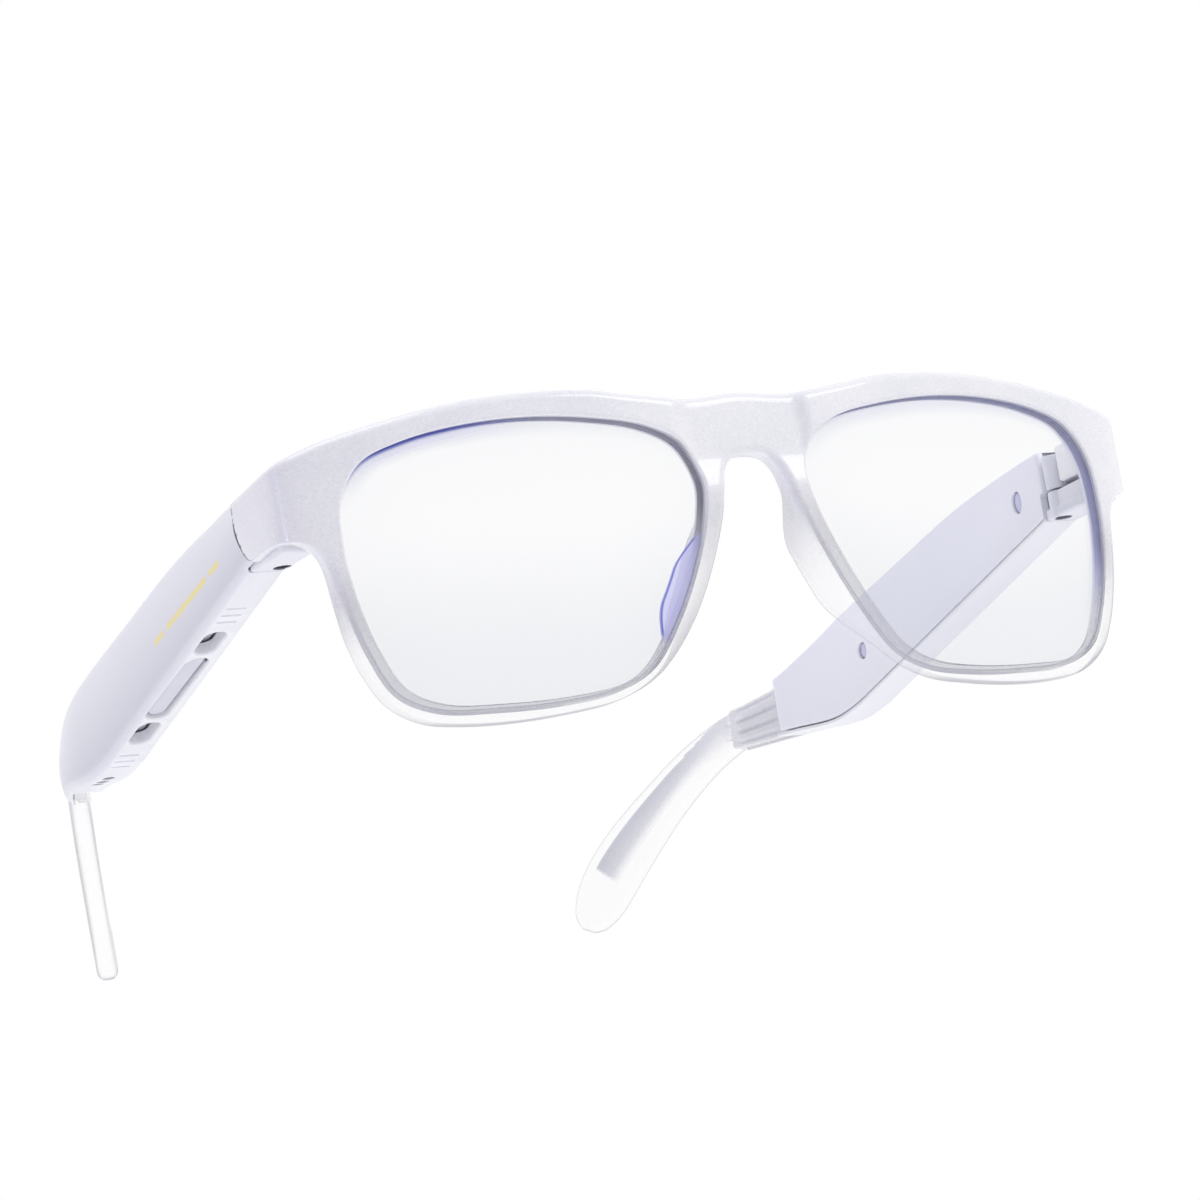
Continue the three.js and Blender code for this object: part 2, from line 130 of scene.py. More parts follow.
class Patches:
    """Grids of points that are welded where they meet, and become one mesh."""

    def __init__(self):
        self.points = []
        self.faces = []
        self.marks = []

    def grid(self, rows, around=False, mark=0.0, flip=False):
        rows = np.array(rows, float)
        n, m = rows.shape[:2]
        base = len(self.points)
        self.points.extend(rows.reshape(-1, 3))
        self.marks.extend(np.broadcast_to(mark, (n, m)).reshape(-1))
        for i in range(n - 1):
            for k in range(m if around else m - 1):
                j = (k + 1) % m
                quad = [base + i * m + k, base + i * m + j, base + (i + 1) * m + j, base + (i + 1) * m + k]
                self.faces.append(quad[::-1] if flip else quad)

    def fan(self, loop, flip=False, mark=0.0):
        loop = np.array(loop, float)
        base = len(self.points)
        self.points.extend(loop)
        self.marks.extend([mark] * len(loop))
        face = list(range(base, base + len(loop)))
        self.faces.append(face[::-1] if flip else face)

    def loft(self, loops, mark=0.0):
        loops = np.array(loops, float)
        marks = np.broadcast_to(mark, loops.shape[:2])
        self.grid(loops, around=True, mark=marks)
        self.fan(loops[0], flip=True, mark=marks[0, 0])
        self.fan(loops[-1], mark=marks[-1, 0])

    def mirrored(self):
        other = Patches()
        other.points = [p * np.array([-1, 1, 1]) for p in self.points]
        other.faces = [f[::-1] for f in self.faces]
        other.marks = list(self.marks)
        return other

    def join(self, other):
        base = len(self.points)
        self.points.extend(other.points)
        self.marks.extend(other.marks)
        self.faces.extend([[base + i for i in f] for f in other.faces])
        return self

    def mesh(self, name, weld=0.004, crease=38):
        mesh = bpy.data.meshes.new(name)
        mesh.from_pydata([tuple(p) for p in self.points], [], self.faces)
        layer = mesh.attributes.new("mark", "FLOAT", "POINT")
        layer.data.foreach_set("value", np.array(self.marks, np.float32))
        made = bmesh.new()
        made.from_mesh(mesh)
        bmesh.ops.remove_doubles(made, verts=made.verts, dist=weld)
        bmesh.ops.dissolve_degenerate(made, edges=made.edges, dist=weld / 4)
        bmesh.ops.recalc_face_normals(made, faces=made.faces)
        finish_edges(made, crease)
        made.to_mesh(mesh)
        made.free()
        return mesh


def finish_edges(made, crease=38):
    for face in made.faces:
        face.smooth = True
    for edge in made.edges:
        edge.smooth = len(edge.link_faces) == 2 and edge.calc_face_angle(0) < math.radians(crease)


def piece(name, mesh, body, node, material):
    """Puts a mesh drawn in millimetres in its place, on its body, for the node it stands for."""
    mesh.transform(TO_FRAME)
    made = bpy.data.objects.new(name, mesh)
    bpy.context.scene.collection.objects.link(made)
    mesh.materials.clear()
    mesh.materials.append(material)
    mesh.polygons.foreach_set("material_index", [0] * len(mesh.polygons))
    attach(made, body)
    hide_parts(node)


# The moulding's section: its depth, the lens groove in it, and the rounds along its edges.
RIM_DEPTH = 4.2
LENS_SET = 1.4
LENS_T = 1.5
GROOVE_GAP = 0.3
GROOVE = 0.8
OUTER_ROUND = 1.25
INNER_ROUND = 0.4
BACK_ROUND = 0.85
LIP_ROUND = 0.4
# How its top and foot bow back, and how far the bridge is let in.
RIM_BOW = 0.94 / 19.4**2
BRIDGE_RECESS = 0.75
# What a point's mark tells the finish: the groove's wall to be painted in shade, or the cut face at the seam
# to be painted in the seam gap's deeper shade.
WALL_SHADE_MARK = 1.0
SEAM_SHADE_MARK = 2.0
# How many rows run out from each lens opening.
STATIONS = 240

OPENING = spaced(
    spline(
        [
            [63.4, 5], [62.6, 12.5], [59.2, 17.5], [53, 20], [44, 21.5], [34, 21.8], [24, 20.8],
            [16, 19], [11, 16], [8.7, 10.5], [9.4, 5.2], [12, -1.8], [16.2, -9.8], [21, -16.2],
            [26, -18.8], [34, -19.9], [44, -19.9], [52.5, -19], [57.6, -16.2], [60.5, -10.7], [62.6, -3],
        ],
        closed=True,
    ),
    STATIONS,
    closed=True,
)
OPENING_OUT = normals_of(OPENING, closed=True)


def front_y(x):
    """How far the front's face has curved back at x."""
    return 6.8 * (x / 58.2) ** 2 + (x / 58.2) ** 4


# The corner seen from above: outer and inner face of the moulding, from the bend, where it
# leaves the curve of the front, to a place behind the seam.
BEND = 64.0
OUTER_PLAN = spline(
    [
        [62, front_y(62)], [BEND, front_y(BEND)], [66.2, front_y(66.2) + 0.05], [68.3, front_y(68.3) + 0.25],
        [70.0, 12.75], [71.1, 14.3], [71.65, 16.4], [71.88, 19], [71.9, 23], [71.9, 31],
    ]
)[SPLINE_STEPS:]
INNER_PLAN = spline(
    [
        [62, front_y(62) + RIM_DEPTH], [BEND, front_y(BEND) + RIM_DEPTH], [65.4, 14.7], [66.7, 15.4],
        [67.7, 16.3], [68.35, 17.4], [68.7, 18.8], [68.8, 20.6], [68.8, 23.5], [68.8, 31],
    ]
)[SPLINE_STEPS:]
PLAN_RUN = np.concatenate([[0], np.cumsum(np.linalg.norm(np.diff(OUTER_PLAN, axis=0), axis=1))]) + BEND


def on_front(flat):
    """Places (along the front, height, depth) on the moulding, bent round its corner."""
    flat = np.array(flat, float)
    q, z, h = flat[..., 0], flat[..., 1], flat[..., 2]
    inside = q <= BEND
    share = h / RIM_DEPTH
    plan = [np.interp(q, PLAN_RUN, OUTER_PLAN[:, k]) for k in (0, 1)]
    back = [np.interp(q, PLAN_RUN, INNER_PLAN[:, k]) for k in (0, 1)]
    x = np.where(inside, q, plan[0] + (back[0] - plan[0]) * share)
    y = np.where(inside, front_y(q) + h, plan[1] + (back[1] - plan[1]) * share)
    y = y + RIM_BOW * z**2 * (1 - ease(q, 66, 75))
    y = y + BRIDGE_RECESS * (1 - ease(np.abs(q), 8.6, 11.4)) * ease(z, 8, 14) * np.clip(1 - share, 0, 1)
    return np.stack([x, y, z], -1)


def along(y):
    """How far along the corner a place y on the side is."""
    side = OUTER_PLAN[:, 1] > 17
    return np.interp(y, OUTER_PLAN[side][:, 1], PLAN_RUN[side])


SEAM_LINE = spline(
    [[28.2, 17.25], [28.1, 15.8], [27.9, 14], [27.4, 11.8], [26.5, 9.9], [25.3, 8.1], [23.8, 7.05]]
)
SEAM = np.stack([along(SEAM_LINE[:, 0]), SEAM_LINE[:, 1]], 1)

# Outline of the front from the middle of the bridge to the seam, and from the seam's foot to
# the arch over the nose.
UPPER_EDGE = spline(
    [
        [-8.5, 22.9], [0, 23.4], [8.5, 22.9], [18.2, 24.2], [24, 25.2], [32, 25.6], [41, 25.4], [50.3, 24.3],
        [59.4, 22.6], [64.2, 21.5], [67.4, 20.6], [70.4, 19.7], [73.5, 18.9], [77, 18.3], list(SEAM[0]),
    ]
)[SPLINE_STEPS:]
LOWER_EDGE = spline(
    [
        list(SEAM[-1]), [along(21.5), 7.2], [along(19), 7.4], [73.2, 7.4], [71, 7.1], [69, 6.4], [67.6, 5.4],
        [66.6, 3.9], [66.0, 1.8], [65.1, -3.3], [63.9, -8.4], [62.2, -13.4], [59.5, -17.9], [55, -20.9],
        [49.5, -22], [42, -22.4], [33, -21.9], [26, -20.8], [20.6, -18.3], [17, -15], [13.2, -10],
        [10.4, -5], [8.1, 0], [6.2, 5], [5.2, 9], [4.4, 11.6], [2.8, 13.4], [0, 13.9], [-2.8, 13.4],
    ]
)[:-SPLINE_STEPS]

OUTLINE = np.vstack([UPPER_EDGE, LOWER_EDGE])
OUTLINE_IN = np.vstack([normals_of(UPPER_EDGE), normals_of(LOWER_EDGE)])


def meet_outline(start, direction):
    """Where a line from the opening meets the outline: the point and its inward normal."""
    best = None
    seam = len(UPPER_EDGE) - 1
    for i in range(len(OUTLINE) - 1):
        a, b = OUTLINE[i], OUTLINE[i + 1]
        if i == seam:
            continue
        det = direction[0] * (a[1] - b[1]) - direction[1] * (a[0] - b[0])
        if abs(det) < 1e-12:
            continue
        w = a - start
        far = (w[0] * (a[1] - b[1]) - w[1] * (a[0] - b[0])) / det
        part = (direction[0] * w[1] - direction[1] * w[0]) / det
        if far > 0 and -1e-9 <= part <= 1 + 1e-9 and (best is None or far < best[0]):
            n = OUTLINE_IN[i] * (1 - part) + OUTLINE_IN[i + 1] * part
            best = (far, a + (b - a) * part, n / np.linalg.norm(n))
    return best


MET = [meet_outline(p, n) for p, n in zip(OPENING, OPENING_OUT)]
EDGE = np.array([m[1] if m else [0, 0] for m in MET])
EDGE_IN = np.array([m[2] if m else [0, 0] for m in MET])
REACHED = np.array([m is not None for m in MET])

# Stations whose rows run into the bridge or into the endpiece in place of an outer wall.
NOSE_TOP = max(i for i in range(84, 98) if EDGE[i][0] >= 9.0)
NOSE_FOOT = min(i for i in range(100, 112) if REACHED[i] and EDGE[i][1] <= 9.0)
CORNER_TOP = 21
CORNER_FOOT = 236


def nose_bump(z):
    """How far the nose pad stands back behind the rim, by height."""
    return 5.2 * (1 - ease(z, 0.2, 8.8)) * ease(z, -17.6, -7)


def quarter(radius, steps):
    """A quarter round as pairs: in from the edge, and in from the face; face end first."""
    turn = np.linspace(math.pi / 2, 0, steps + 1)
    return [(radius * (1 - math.cos(t)), radius * (1 - math.sin(t))) for t in turn]


def limit_points(radius):
    """Where each station's flat part ends and the outer round, bridge or endpiece begins."""
    side = np.stack([-OPENING_OUT[:, 1], OPENING_OUT[:, 0]], 1)
    out = EDGE + EDGE_IN * radius
    for first, last in ((NOSE_TOP, NOSE_FOOT), (CORNER_FOOT, CORNER_TOP + STATIONS)):
        ends = []
        for i in (first % STATIONS, last % STATIONS):
            gap = out[i] - OPENING[i]
            ends.append((gap @ OPENING_OUT[i], gap @ side[i]))
        for i in range(first + 1, last):
            t = (i - first) / (last - first)
            j = i % STATIONS
            a, b = (ends[0][k] * (1 - t) + ends[1][k] * t for k in (0, 1))
            out[j] = OPENING[j] + OPENING_OUT[j] * a + side[j] * b
    return out


def rim_sheet(radius, inner_radius, flats, back):
    """One face of the rim from its opening to its outer wall: (station, row, [along, height, depth])."""
    limit = limit_points(radius)
    pad = np.where(EDGE[:, 0] < 22, nose_bump(EDGE[:, 1]), 0) * REACHED
    pad[NOSE_TOP : NOSE_FOOT + 1] = 0
    pad[:NOSE_TOP] = 0
    rows = []
    for a, h in quarter(inner_radius, 4)[::-1]:
        rows.append(np.column_stack([OPENING + OPENING_OUT * a, np.full(STATIONS, h)]))
    start = OPENING + OPENING_OUT * inner_radius
    for k in range(1, flats):
        t = k / flats
        lift = pad * ease(t, 0.06, 0.5) if back else 0 * pad
        rows.append(np.column_stack([start * (1 - t) + limit * t, -lift]))
    for k, (b, h) in enumerate(quarter(radius, 6)):
        place = EDGE + EDGE_IN * b if k else limit
        rows.append(np.column_stack([place, h - (pad if back else 0 * pad)]))
    sheet = np.stack(rows, 1)
    if back:
        sheet[..., 2] = RIM_DEPTH - sheet[..., 2]
    return sheet


def plate_sheet(radius, upper, upper_in, lower, lower_in, left, right, back, crisp=1.0):
    """A four-sided stretch of the moulding, rounded along its edges; crisp narrows the lower round."""
    u = np.linspace(0, 1, len(upper))[:, None, None]
    v = np.linspace(0, 1, len(left))[None, :, None]
    narrow = 1 + (crisp - 1) * ease(u[:, :, 0], 0, 0.45)
    top, foot = upper + upper_in * radius, lower + lower_in * radius * narrow
    left, right = np.array(left), np.array(right)
    left[0], left[-1], right[0], right[-1] = top[0], foot[0], top[-1], foot[-1]
    flat = (1 - v) * top[:, None] + v * foot[:, None] + (1 - u) * left[None] + u * right[None]
    flat = flat - (1 - u) * ((1 - v) * left[0] + v * left[-1]) - u * ((1 - v) * right[0] + v * right[-1])
    flat = np.concatenate([flat, np.zeros(flat.shape[:2] + (1,))], 2)
    rounds = quarter(radius, 6)[1:]
    above = [np.column_stack([upper + upper_in * b, np.full(len(upper), h)]) for b, h in rounds[::-1]]
    below = [np.column_stack([lower + lower_in * b * narrow, h * narrow]) for b, h in rounds]
    sheet = np.concatenate([np.stack(above, 1), flat, np.stack(below, 1)], 1)
    if back:
        sheet[..., 2] = RIM_DEPTH - sheet[..., 2]
    return sheet


def stretch(line, start, end, count):
    """The part of a line between the places nearest to start and end, evenly spaced."""
    i, j = (int(np.argmin(np.linalg.norm(line - p, axis=1))) for p in (start, end))
    part = line[i : j + 1] if i < j else line[j : i + 1][::-1]
    part = np.array(part)
    part[0], part[-1] = start, end
    return spaced(part, count)


def front_half():
    """The rim and endpiece of the +X side."""
    made = Patches()
    front = rim_sheet(OUTER_ROUND, INNER_ROUND, 10, False)
    back = rim_sheet(BACK_ROUND, INNER_ROUND, 14, True)
    flats = (len(front[0]) - 6, len(back[0]) - 6)
    ring = list(range(STATIONS)) + [0]
    made.grid(on_front(front[ring, : flats[0]]), flip=True)
    made.grid(on_front(back[ring, : flats[1]]))
    fore, aft = LENS_SET - GROOVE_GAP, LENS_SET + LENS_T + GROOVE_GAP
    lips = [(0, INNER_ROUND), (0, INNER_ROUND + 0.12), (0, fore), (GROOVE, fore)]
    lips += [(GROOVE, aft), (0, aft), (0, RIM_DEPTH - INNER_ROUND)]
    wall = [np.column_stack([OPENING + OPENING_OUT * a, np.full(STATIONS, h)]) for a, h in lips]
    # The groove's wall carries the mark for its painted shade.
    made.grid(on_front(np.stack(wall, 1)[ring]), mark=WALL_SHADE_MARK * np.array([0, 1, 1, 1, 1, 1, 0])[None, :])
    for first, last in ((CORNER_TOP, NOSE_TOP), (NOSE_FOOT, CORNER_FOOT)):
        run = slice(first, last + 1)
        made.grid(on_front(front[run, flats[0] - 1 :]), flip=True)
        made.grid(on_front(back[run, flats[1] - 1 :]))
        made.grid(on_front(np.stack([front[run, -1], back[run, -1]], 1)), flip=True)

    corner = [i % STATIONS for i in range(CORNER_TOP + STATIONS, CORNER_FOOT - 1, -1)]
    columns = 40
    upper = stretch(UPPER_EDGE, EDGE[CORNER_TOP], UPPER_EDGE[-1], columns)
    lower = stretch(LOWER_EDGE, EDGE[CORNER_FOOT], LOWER_EDGE[0], columns)
    sheets = []
    for radius, back_side in ((OUTER_ROUND, False), (BACK_ROUND, True)):
        upper_in, lower_in = normals_of(upper), -normals_of(lower)
        upper_in[0], lower_in[0] = EDGE_IN[CORNER_TOP], EDGE_IN[CORNER_FOOT]
        crisp = LIP_ROUND / radius
        seam = SEAM[(SEAM[:, 1] < SEAM[0][1] - radius) & (SEAM[:, 1] > SEAM[-1][1] + LIP_ROUND)]
        ends = (upper[-1] + upper_in[-1] * radius, lower[-1] + lower_in[-1] * LIP_ROUND)
        seam = spaced(np.vstack([ends[0], seam, ends[1]]), len(corner))
        limit = limit_points(radius)[corner]
        sheets.append(plate_sheet(radius, upper, upper_in, lower, lower_in, limit, seam, back_side, crisp))
    made.grid(on_front(sheets[0]), flip=True)
    made.grid(on_front(sheets[1]))
    for row in (0, -1):
        made.grid(on_front(np.stack([sheets[0][:, row], sheets[1][:, row]], 1)), flip=row == 0)
    # The cut face at the seam is marked for the seam gap's painted shade.
    made.grid(on_front(np.stack([sheets[0][-1], sheets[1][-1]], 1)), mark=SEAM_SHADE_MARK)
    return made


def bridge():
    made = Patches()
    nose = list(range(NOSE_TOP, NOSE_FOOT + 1))
    mirror = np.array([-1, 1])
    columns = 36
    half_upper = UPPER_EDGE[: int(np.argmin(np.linalg.norm(UPPER_EDGE - EDGE[NOSE_TOP], axis=1))) + 1]
    half_lower = LOWER_EDGE[int(np.argmin(np.linalg.norm(LOWER_EDGE - EDGE[NOSE_FOOT], axis=1))) :]
    half_upper[-1], half_lower[0] = EDGE[NOSE_TOP], EDGE[NOSE_FOOT]
    upper = spaced(np.vstack([half_upper[::-1], half_upper[1:] * mirror]), columns)
    lower = spaced(np.vstack([half_lower, half_lower[-2::-1] * mirror]), columns)
    upper_in, lower_in = -normals_of(upper), normals_of(lower)
    for line_in, station in ((upper_in, NOSE_TOP), (lower_in, NOSE_FOOT)):
        line_in[0], line_in[-1] = EDGE_IN[station], EDGE_IN[station] * mirror
    sheets = []
    for radius, back_side in ((OUTER_ROUND, False), (BACK_ROUND, True)):
        limit = limit_points(radius)[nose]
        sheets.append(plate_sheet(radius, upper, upper_in, lower, lower_in, limit, limit * mirror, back_side))
    for sheet in sheets:
        made.grid(on_bridge(sheet))
    for row in (0, -1):
        made.grid(on_bridge(np.stack([sheets[0][:, row], sheets[1][:, row]], 1)))
    return made


def on_bridge(flat):
    """on_front for both sides of the middle."""
    flat = np.array(flat, float)
    sign = np.where(flat[..., 0] < 0, -1.0, 1.0)
    flat[..., 0] = np.abs(flat[..., 0])
    out = on_front(flat)
    out[..., 0] *= sign
    return out


def block(low, high, radius, steps=3, mark=0.0):
    """A box with rounded edges, as a Patches of one closed skin."""
    low, high = np.array(low, float), np.array(high, float)
    made = bmesh.new()
    bmesh.ops.create_cube(made, size=1)
    for v in made.verts:
        v.co = Vector(((low + high) / 2 + (high - low) * np.array(v.co)))
    edges = list(made.edges)
    rounding = {"offset": radius, "segments": steps, "affect": "EDGES", "profile": 0.5, "clamp_overlap": True}
    bmesh.ops.bevel(made, geom=edges, **rounding)
    out = Patches()
    out.points = [np.array(v.co) for v in made.verts]
    out.faces = [[v.index for v in f.verts] for f in made.faces]
    out.marks = [mark] * len(out.points)
    made.free()
    return out


half = front_half()
half.join(block([65.2, 14.6, 11.4], [69.4, 22.8, 17.1], 0.6))
front_shape = bridge().join(half).join(half.mirrored())


class Value:
    """A socket of a material, so that masks are written as sums and products."""

    def __init__(self, finish, socket):
        self.finish = finish
        self.socket = socket

    def math(self, operation, *others):
        return self.finish.node("Math", {"operation": operation}, dict(enumerate((self, *others))))

    def __add__(self, other):
        return self.math("ADD", other)

    def __sub__(self, other):
        return self.math("SUBTRACT", other)

    def __rsub__(self, other):
        return self.finish.node("Math", {"operation": "SUBTRACT"}, {0: other, 1: self})

    def __mul__(self, other):
        return self.math("MULTIPLY", other)

    def __abs__(self):
        return self.math("ABSOLUTE")

    def sine(self):
        return self.math("SINE")

    def rise(self, low, high):
        """0 at low, 1 at high, smooth between."""
        values = {"Value": self, "From Min": low, "From Max": high}
        return self.finish.node("MapRange", {"interpolation_type": "SMOOTHSTEP"}, values)

    __radd__ = __add__
    __rmul__ = __mul__


class Finish:
    """A material, or the world, under construction. Its place is in metres on the object."""

    def __init__(self, name, kind=bpy.data.materials):
        self.owner = kind.new(name)
        self.owner.use_nodes = True
        self.tree = self.owner.node_tree
        self.tree.nodes.clear()
        self.place = self.node("TexCoord", output="Object")

    def node(self, kind, settings=None, values=None, output=0):
        made = self.tree.nodes.new("ShaderNode" + kind)
        for key, setting in (settings or {}).items():
            setattr(made, key, setting)
        for key, value in (values or {}).items():
            if isinstance(value, Value):
                self.tree.links.new(value.socket, made.inputs[key])
            elif isinstance(value, tuple) and made.inputs[key].type == "RGBA":
                made.inputs[key].default_value = (*value, 1)
            else:
                made.inputs[key].default_value = value
        return Value(self, made.outputs[output]) if made.outputs else self.owner

    def axis(self, name, of=None):
        return self.node("SeparateXYZ", values={0: of or self.place}, output=name)

    def mark(self):
        """What the mesh says about itself, point by point."""
        return self.node("Attribute", {"attribute_name": "mark"}, output="Fac")

    def turned(self):
        """0 where the surface is seen face on, 1 where it is seen edge on."""
        return self.node("LayerWeight", values={"Blend": 0.5}, output="Facing")

    def noise(self, scale, detail=2.0, roughness=0.5, stretch=(1, 1, 1)):
        place = self.node("Mapping", values={"Vector": self.place, "Scale": stretch})
        values = {"Vector": place, "Scale": scale, "Detail": detail, "Roughness": roughness}
        return self.node("TexNoise", values=values)

    def mix(self, factor, first, second):
        return self.node("Mix", {"data_type": "RGBA"}, {0: factor, 6: first, 7: second}, 2)

    def bump(self, height, distance, strength=1.0):
        return self.node("Bump", values={"Height": height, "Distance": distance, "Strength": strength})

    def surface(self, **values):
        shader = self.node("BsdfPrincipled", values={key.replace("_", " "): v for key, v in values.items()})
        return self.node("OutputMaterial", values={"Surface": shader})


FLAKE_SCALE = 4600.0
FADE_HEIGHT = 0.0265
FADE_SLOPE = 0.115
PEARL_WHITE = (0.88, 0.88, 0.905)
PEARL_VIOLET = (0.82, 0.82, 0.865)
PEARL_FLAKE = (0.97, 0.97, 1.0)
PEARL_SHADE = (0.62, 0.62, 0.70)
# Painted shade for the lens groove's wall.
WALL_PAINTED_SHADE = (0.46, 0.46, 0.51)
CLEAR_BODY = (0.93, 0.93, 0.96)
# Painted shade for clear plastic's outline and for the groove wall behind it.
CLEAR_PAINTED_SHADE = (0.26, 0.26, 0.32)
# Painted shade for the seam's narrow gap and for small recesses.
SEAM_AND_RECESS_SHADE = (0.10, 0.10, 0.13)
# Painted shade along the edges of the pearl, where the surface turns away.
PEARL_EDGE_SHADE = (0.50, 0.50, 0.60)


def clear_plastic(finish):
    """Polished clear plastic: nothing to see face on, and a painted grey outline where it turns away,
    standing for the dark edges that refraction and reflection give.
    """
    flow = finish.noise(1.0, stretch=(60, 60, 160))
    turned = finish.turned()
    outline = turned.rise(0.6, 0.92)
    colour = finish.mix(turned.rise(0.45, 0.8), CLEAR_BODY, CLEAR_PAINTED_SHADE)
    cover = 0.07 + 0.06 * flow + 0.14 * turned.rise(0.3, 0.7) + 0.7 * outline
    return colour, 0.03 + 0.03 * flow, cover


def front_finish():
    finish = Finish("pearl_to_clear")
    x, z = finish.axis("X"), finish.axis("Z")
    wall = finish.mark()
    cells = finish.node("TexVoronoi", None, {"Vector": finish.place, "Scale": FLAKE_SCALE}, output="Color")
    flake = finish.axis("X", cells)
    cloud = finish.noise(70.0, 3.0)
    spark = flake.rise(0.8, 1.0)
    colour = finish.mix(cloud.rise(0.3, 0.7), PEARL_WHITE, PEARL_VIOLET)
    colour = finish.mix(spark * 0.5, colour, PEARL_FLAKE)
    colour = finish.mix(0.22 * flake.rise(0.25, 0.0), colour, PEARL_SHADE)
    # Painted shade: the pearl turns a darker lavender where the surface turns away, for the grey outline
    # along the moulding's edges.
    turned = finish.turned()
    colour = finish.mix(0.6 * turned.rise(0.66, 0.98), colour, PEARL_EDGE_SHADE)
    # Painted shade on the lens groove's wall, which faces down into the moulding's shade.
    colour = finish.mix(0.9 * wall.rise(0.0, 1.0), colour, WALL_PAINTED_SHADE)
    # Painted shade: the cut face at the seam is painted nearly black, for the shade inside the seam's narrow
    # gap.
    colour = finish.mix(wall.rise(1.1, 1.7), colour, SEAM_AND_RECESS_SHADE)
    clear_colour, clear_rough, clear_cover = clear_plastic(finish)
    # On the clear part the groove's wall is painted grey and more opaque as well: painted shade.
    clear_colour = finish.mix(0.8 * wall.rise(0.0, 1.0), clear_colour, CLEAR_PAINTED_SHADE)
    clear_cover = clear_cover + 0.3 * wall.rise(0.0, 1.0)
    grain = 0.0016 * (finish.noise(900.0, 3.0) - 0.5)
    fade_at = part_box("front_frame")[0].z + FADE_HEIGHT - FADE_SLOPE * abs(x)
    sprayed = (z + grain - fade_at).rise(-0.0085, 0.0075)
    fine = finish.noise(3800.0)
    return finish.surface(
        Base_Color=finish.mix(sprayed, clear_colour, colour),
        Roughness=clear_rough + sprayed * (0.26 + 0.12 * flake),
        Alpha=clear_cover + sprayed * (1.0 - clear_cover),
        Coat_Weight=0.75 * sprayed * cloud.rise(0.0, 0.4),
        Coat_Roughness=0.07,
        Normal=finish.bump(sprayed * (fine + 0.5 * flake), 0.00002, 0.3),
    )


front_mesh = front_shape.mesh("front_moulding")
piece("front_moulding", front_mesh, "front", "front_frame", front_finish())

# ---------------------------------------------------------------------------------------------
# Lenses: thin curved plastic, nearly clear, cut to the opening and sprung into its groove.
# Their filter coating's blue-violet reflection is painted as a band along parts of the edge.

LENS_GRIP = 0.5
LENS_MIDDLE = np.array([36.5, 1.0])
LENS_ROWS = [0, 0.35, 0.8, 1.4, 1.8, 2.2, 2.6, 3.0, 3.5, 4.1, 5.0, 6.5, 9, 12, 15]
SQUARE_ROWS = 1.4
BACK_MARK = 30


def sides(*shapes):
    """The shapes as they are drawn for the left, then their mirror images for the right."""
    yield "left", *shapes
    yield "right", *(shape.mirrored() for shape in shapes)


def lens_place(flat, depth):
    x, z = flat[..., 0], flat[..., 1]
    return np.stack([x, front_y(x) + RIM_BOW * z**2 + depth, z], -1)


def lens_shape():
    """Rows run inwards from the edge, square to it at first. A mark says how far in, in mm."""
    made = Patches()
    rim = OPENING + OPENING_OUT * LENS_GRIP
    reach = np.linalg.norm(rim - LENS_MIDDLE, axis=1)[:, None]
    ring = list(range(STATIONS)) + [0]
    rows = []
    for inset in LENS_ROWS:
        square = OPENING_OUT * min(inset, SQUARE_ROWS)
        rows.append(rim - square - (rim - LENS_MIDDLE) / reach * max(inset - SQUARE_ROWS, 0))
    inner = rows[-1]
    shares = np.array([0.2, 0.4, 0.6, 0.8, 0.96])
    rows += [inner * (1 - t) + LENS_MIDDLE * t for t in shares]
    marks = np.concatenate([LENS_ROWS, 16 + 10 * shares])[None, :]
    flat = np.stack(rows, 1)[ring]
    for depth, front in ((LENS_SET, True), (LENS_SET + LENS_T, False)):
        made.grid(lens_place(flat, depth), mark=marks if front else marks + BACK_MARK, flip=front)
        made.fan(lens_place(flat[:-1, -1], depth), flip=not front, mark=26)
    made.grid(np.stack([lens_place(rim[ring], depth) for depth in (LENS_SET, LENS_SET + LENS_T)], 1))
    return made


COATING_WIDTH = 3.3
# Colours of the coating's painted reflection.
COATING_REFLECTION = (0.10, 0.13, 0.62)
COATING_REFLECTION_PALE = (0.58, 0.58, 0.97)
LENS_GREY = (0.50, 0.53, 0.64)


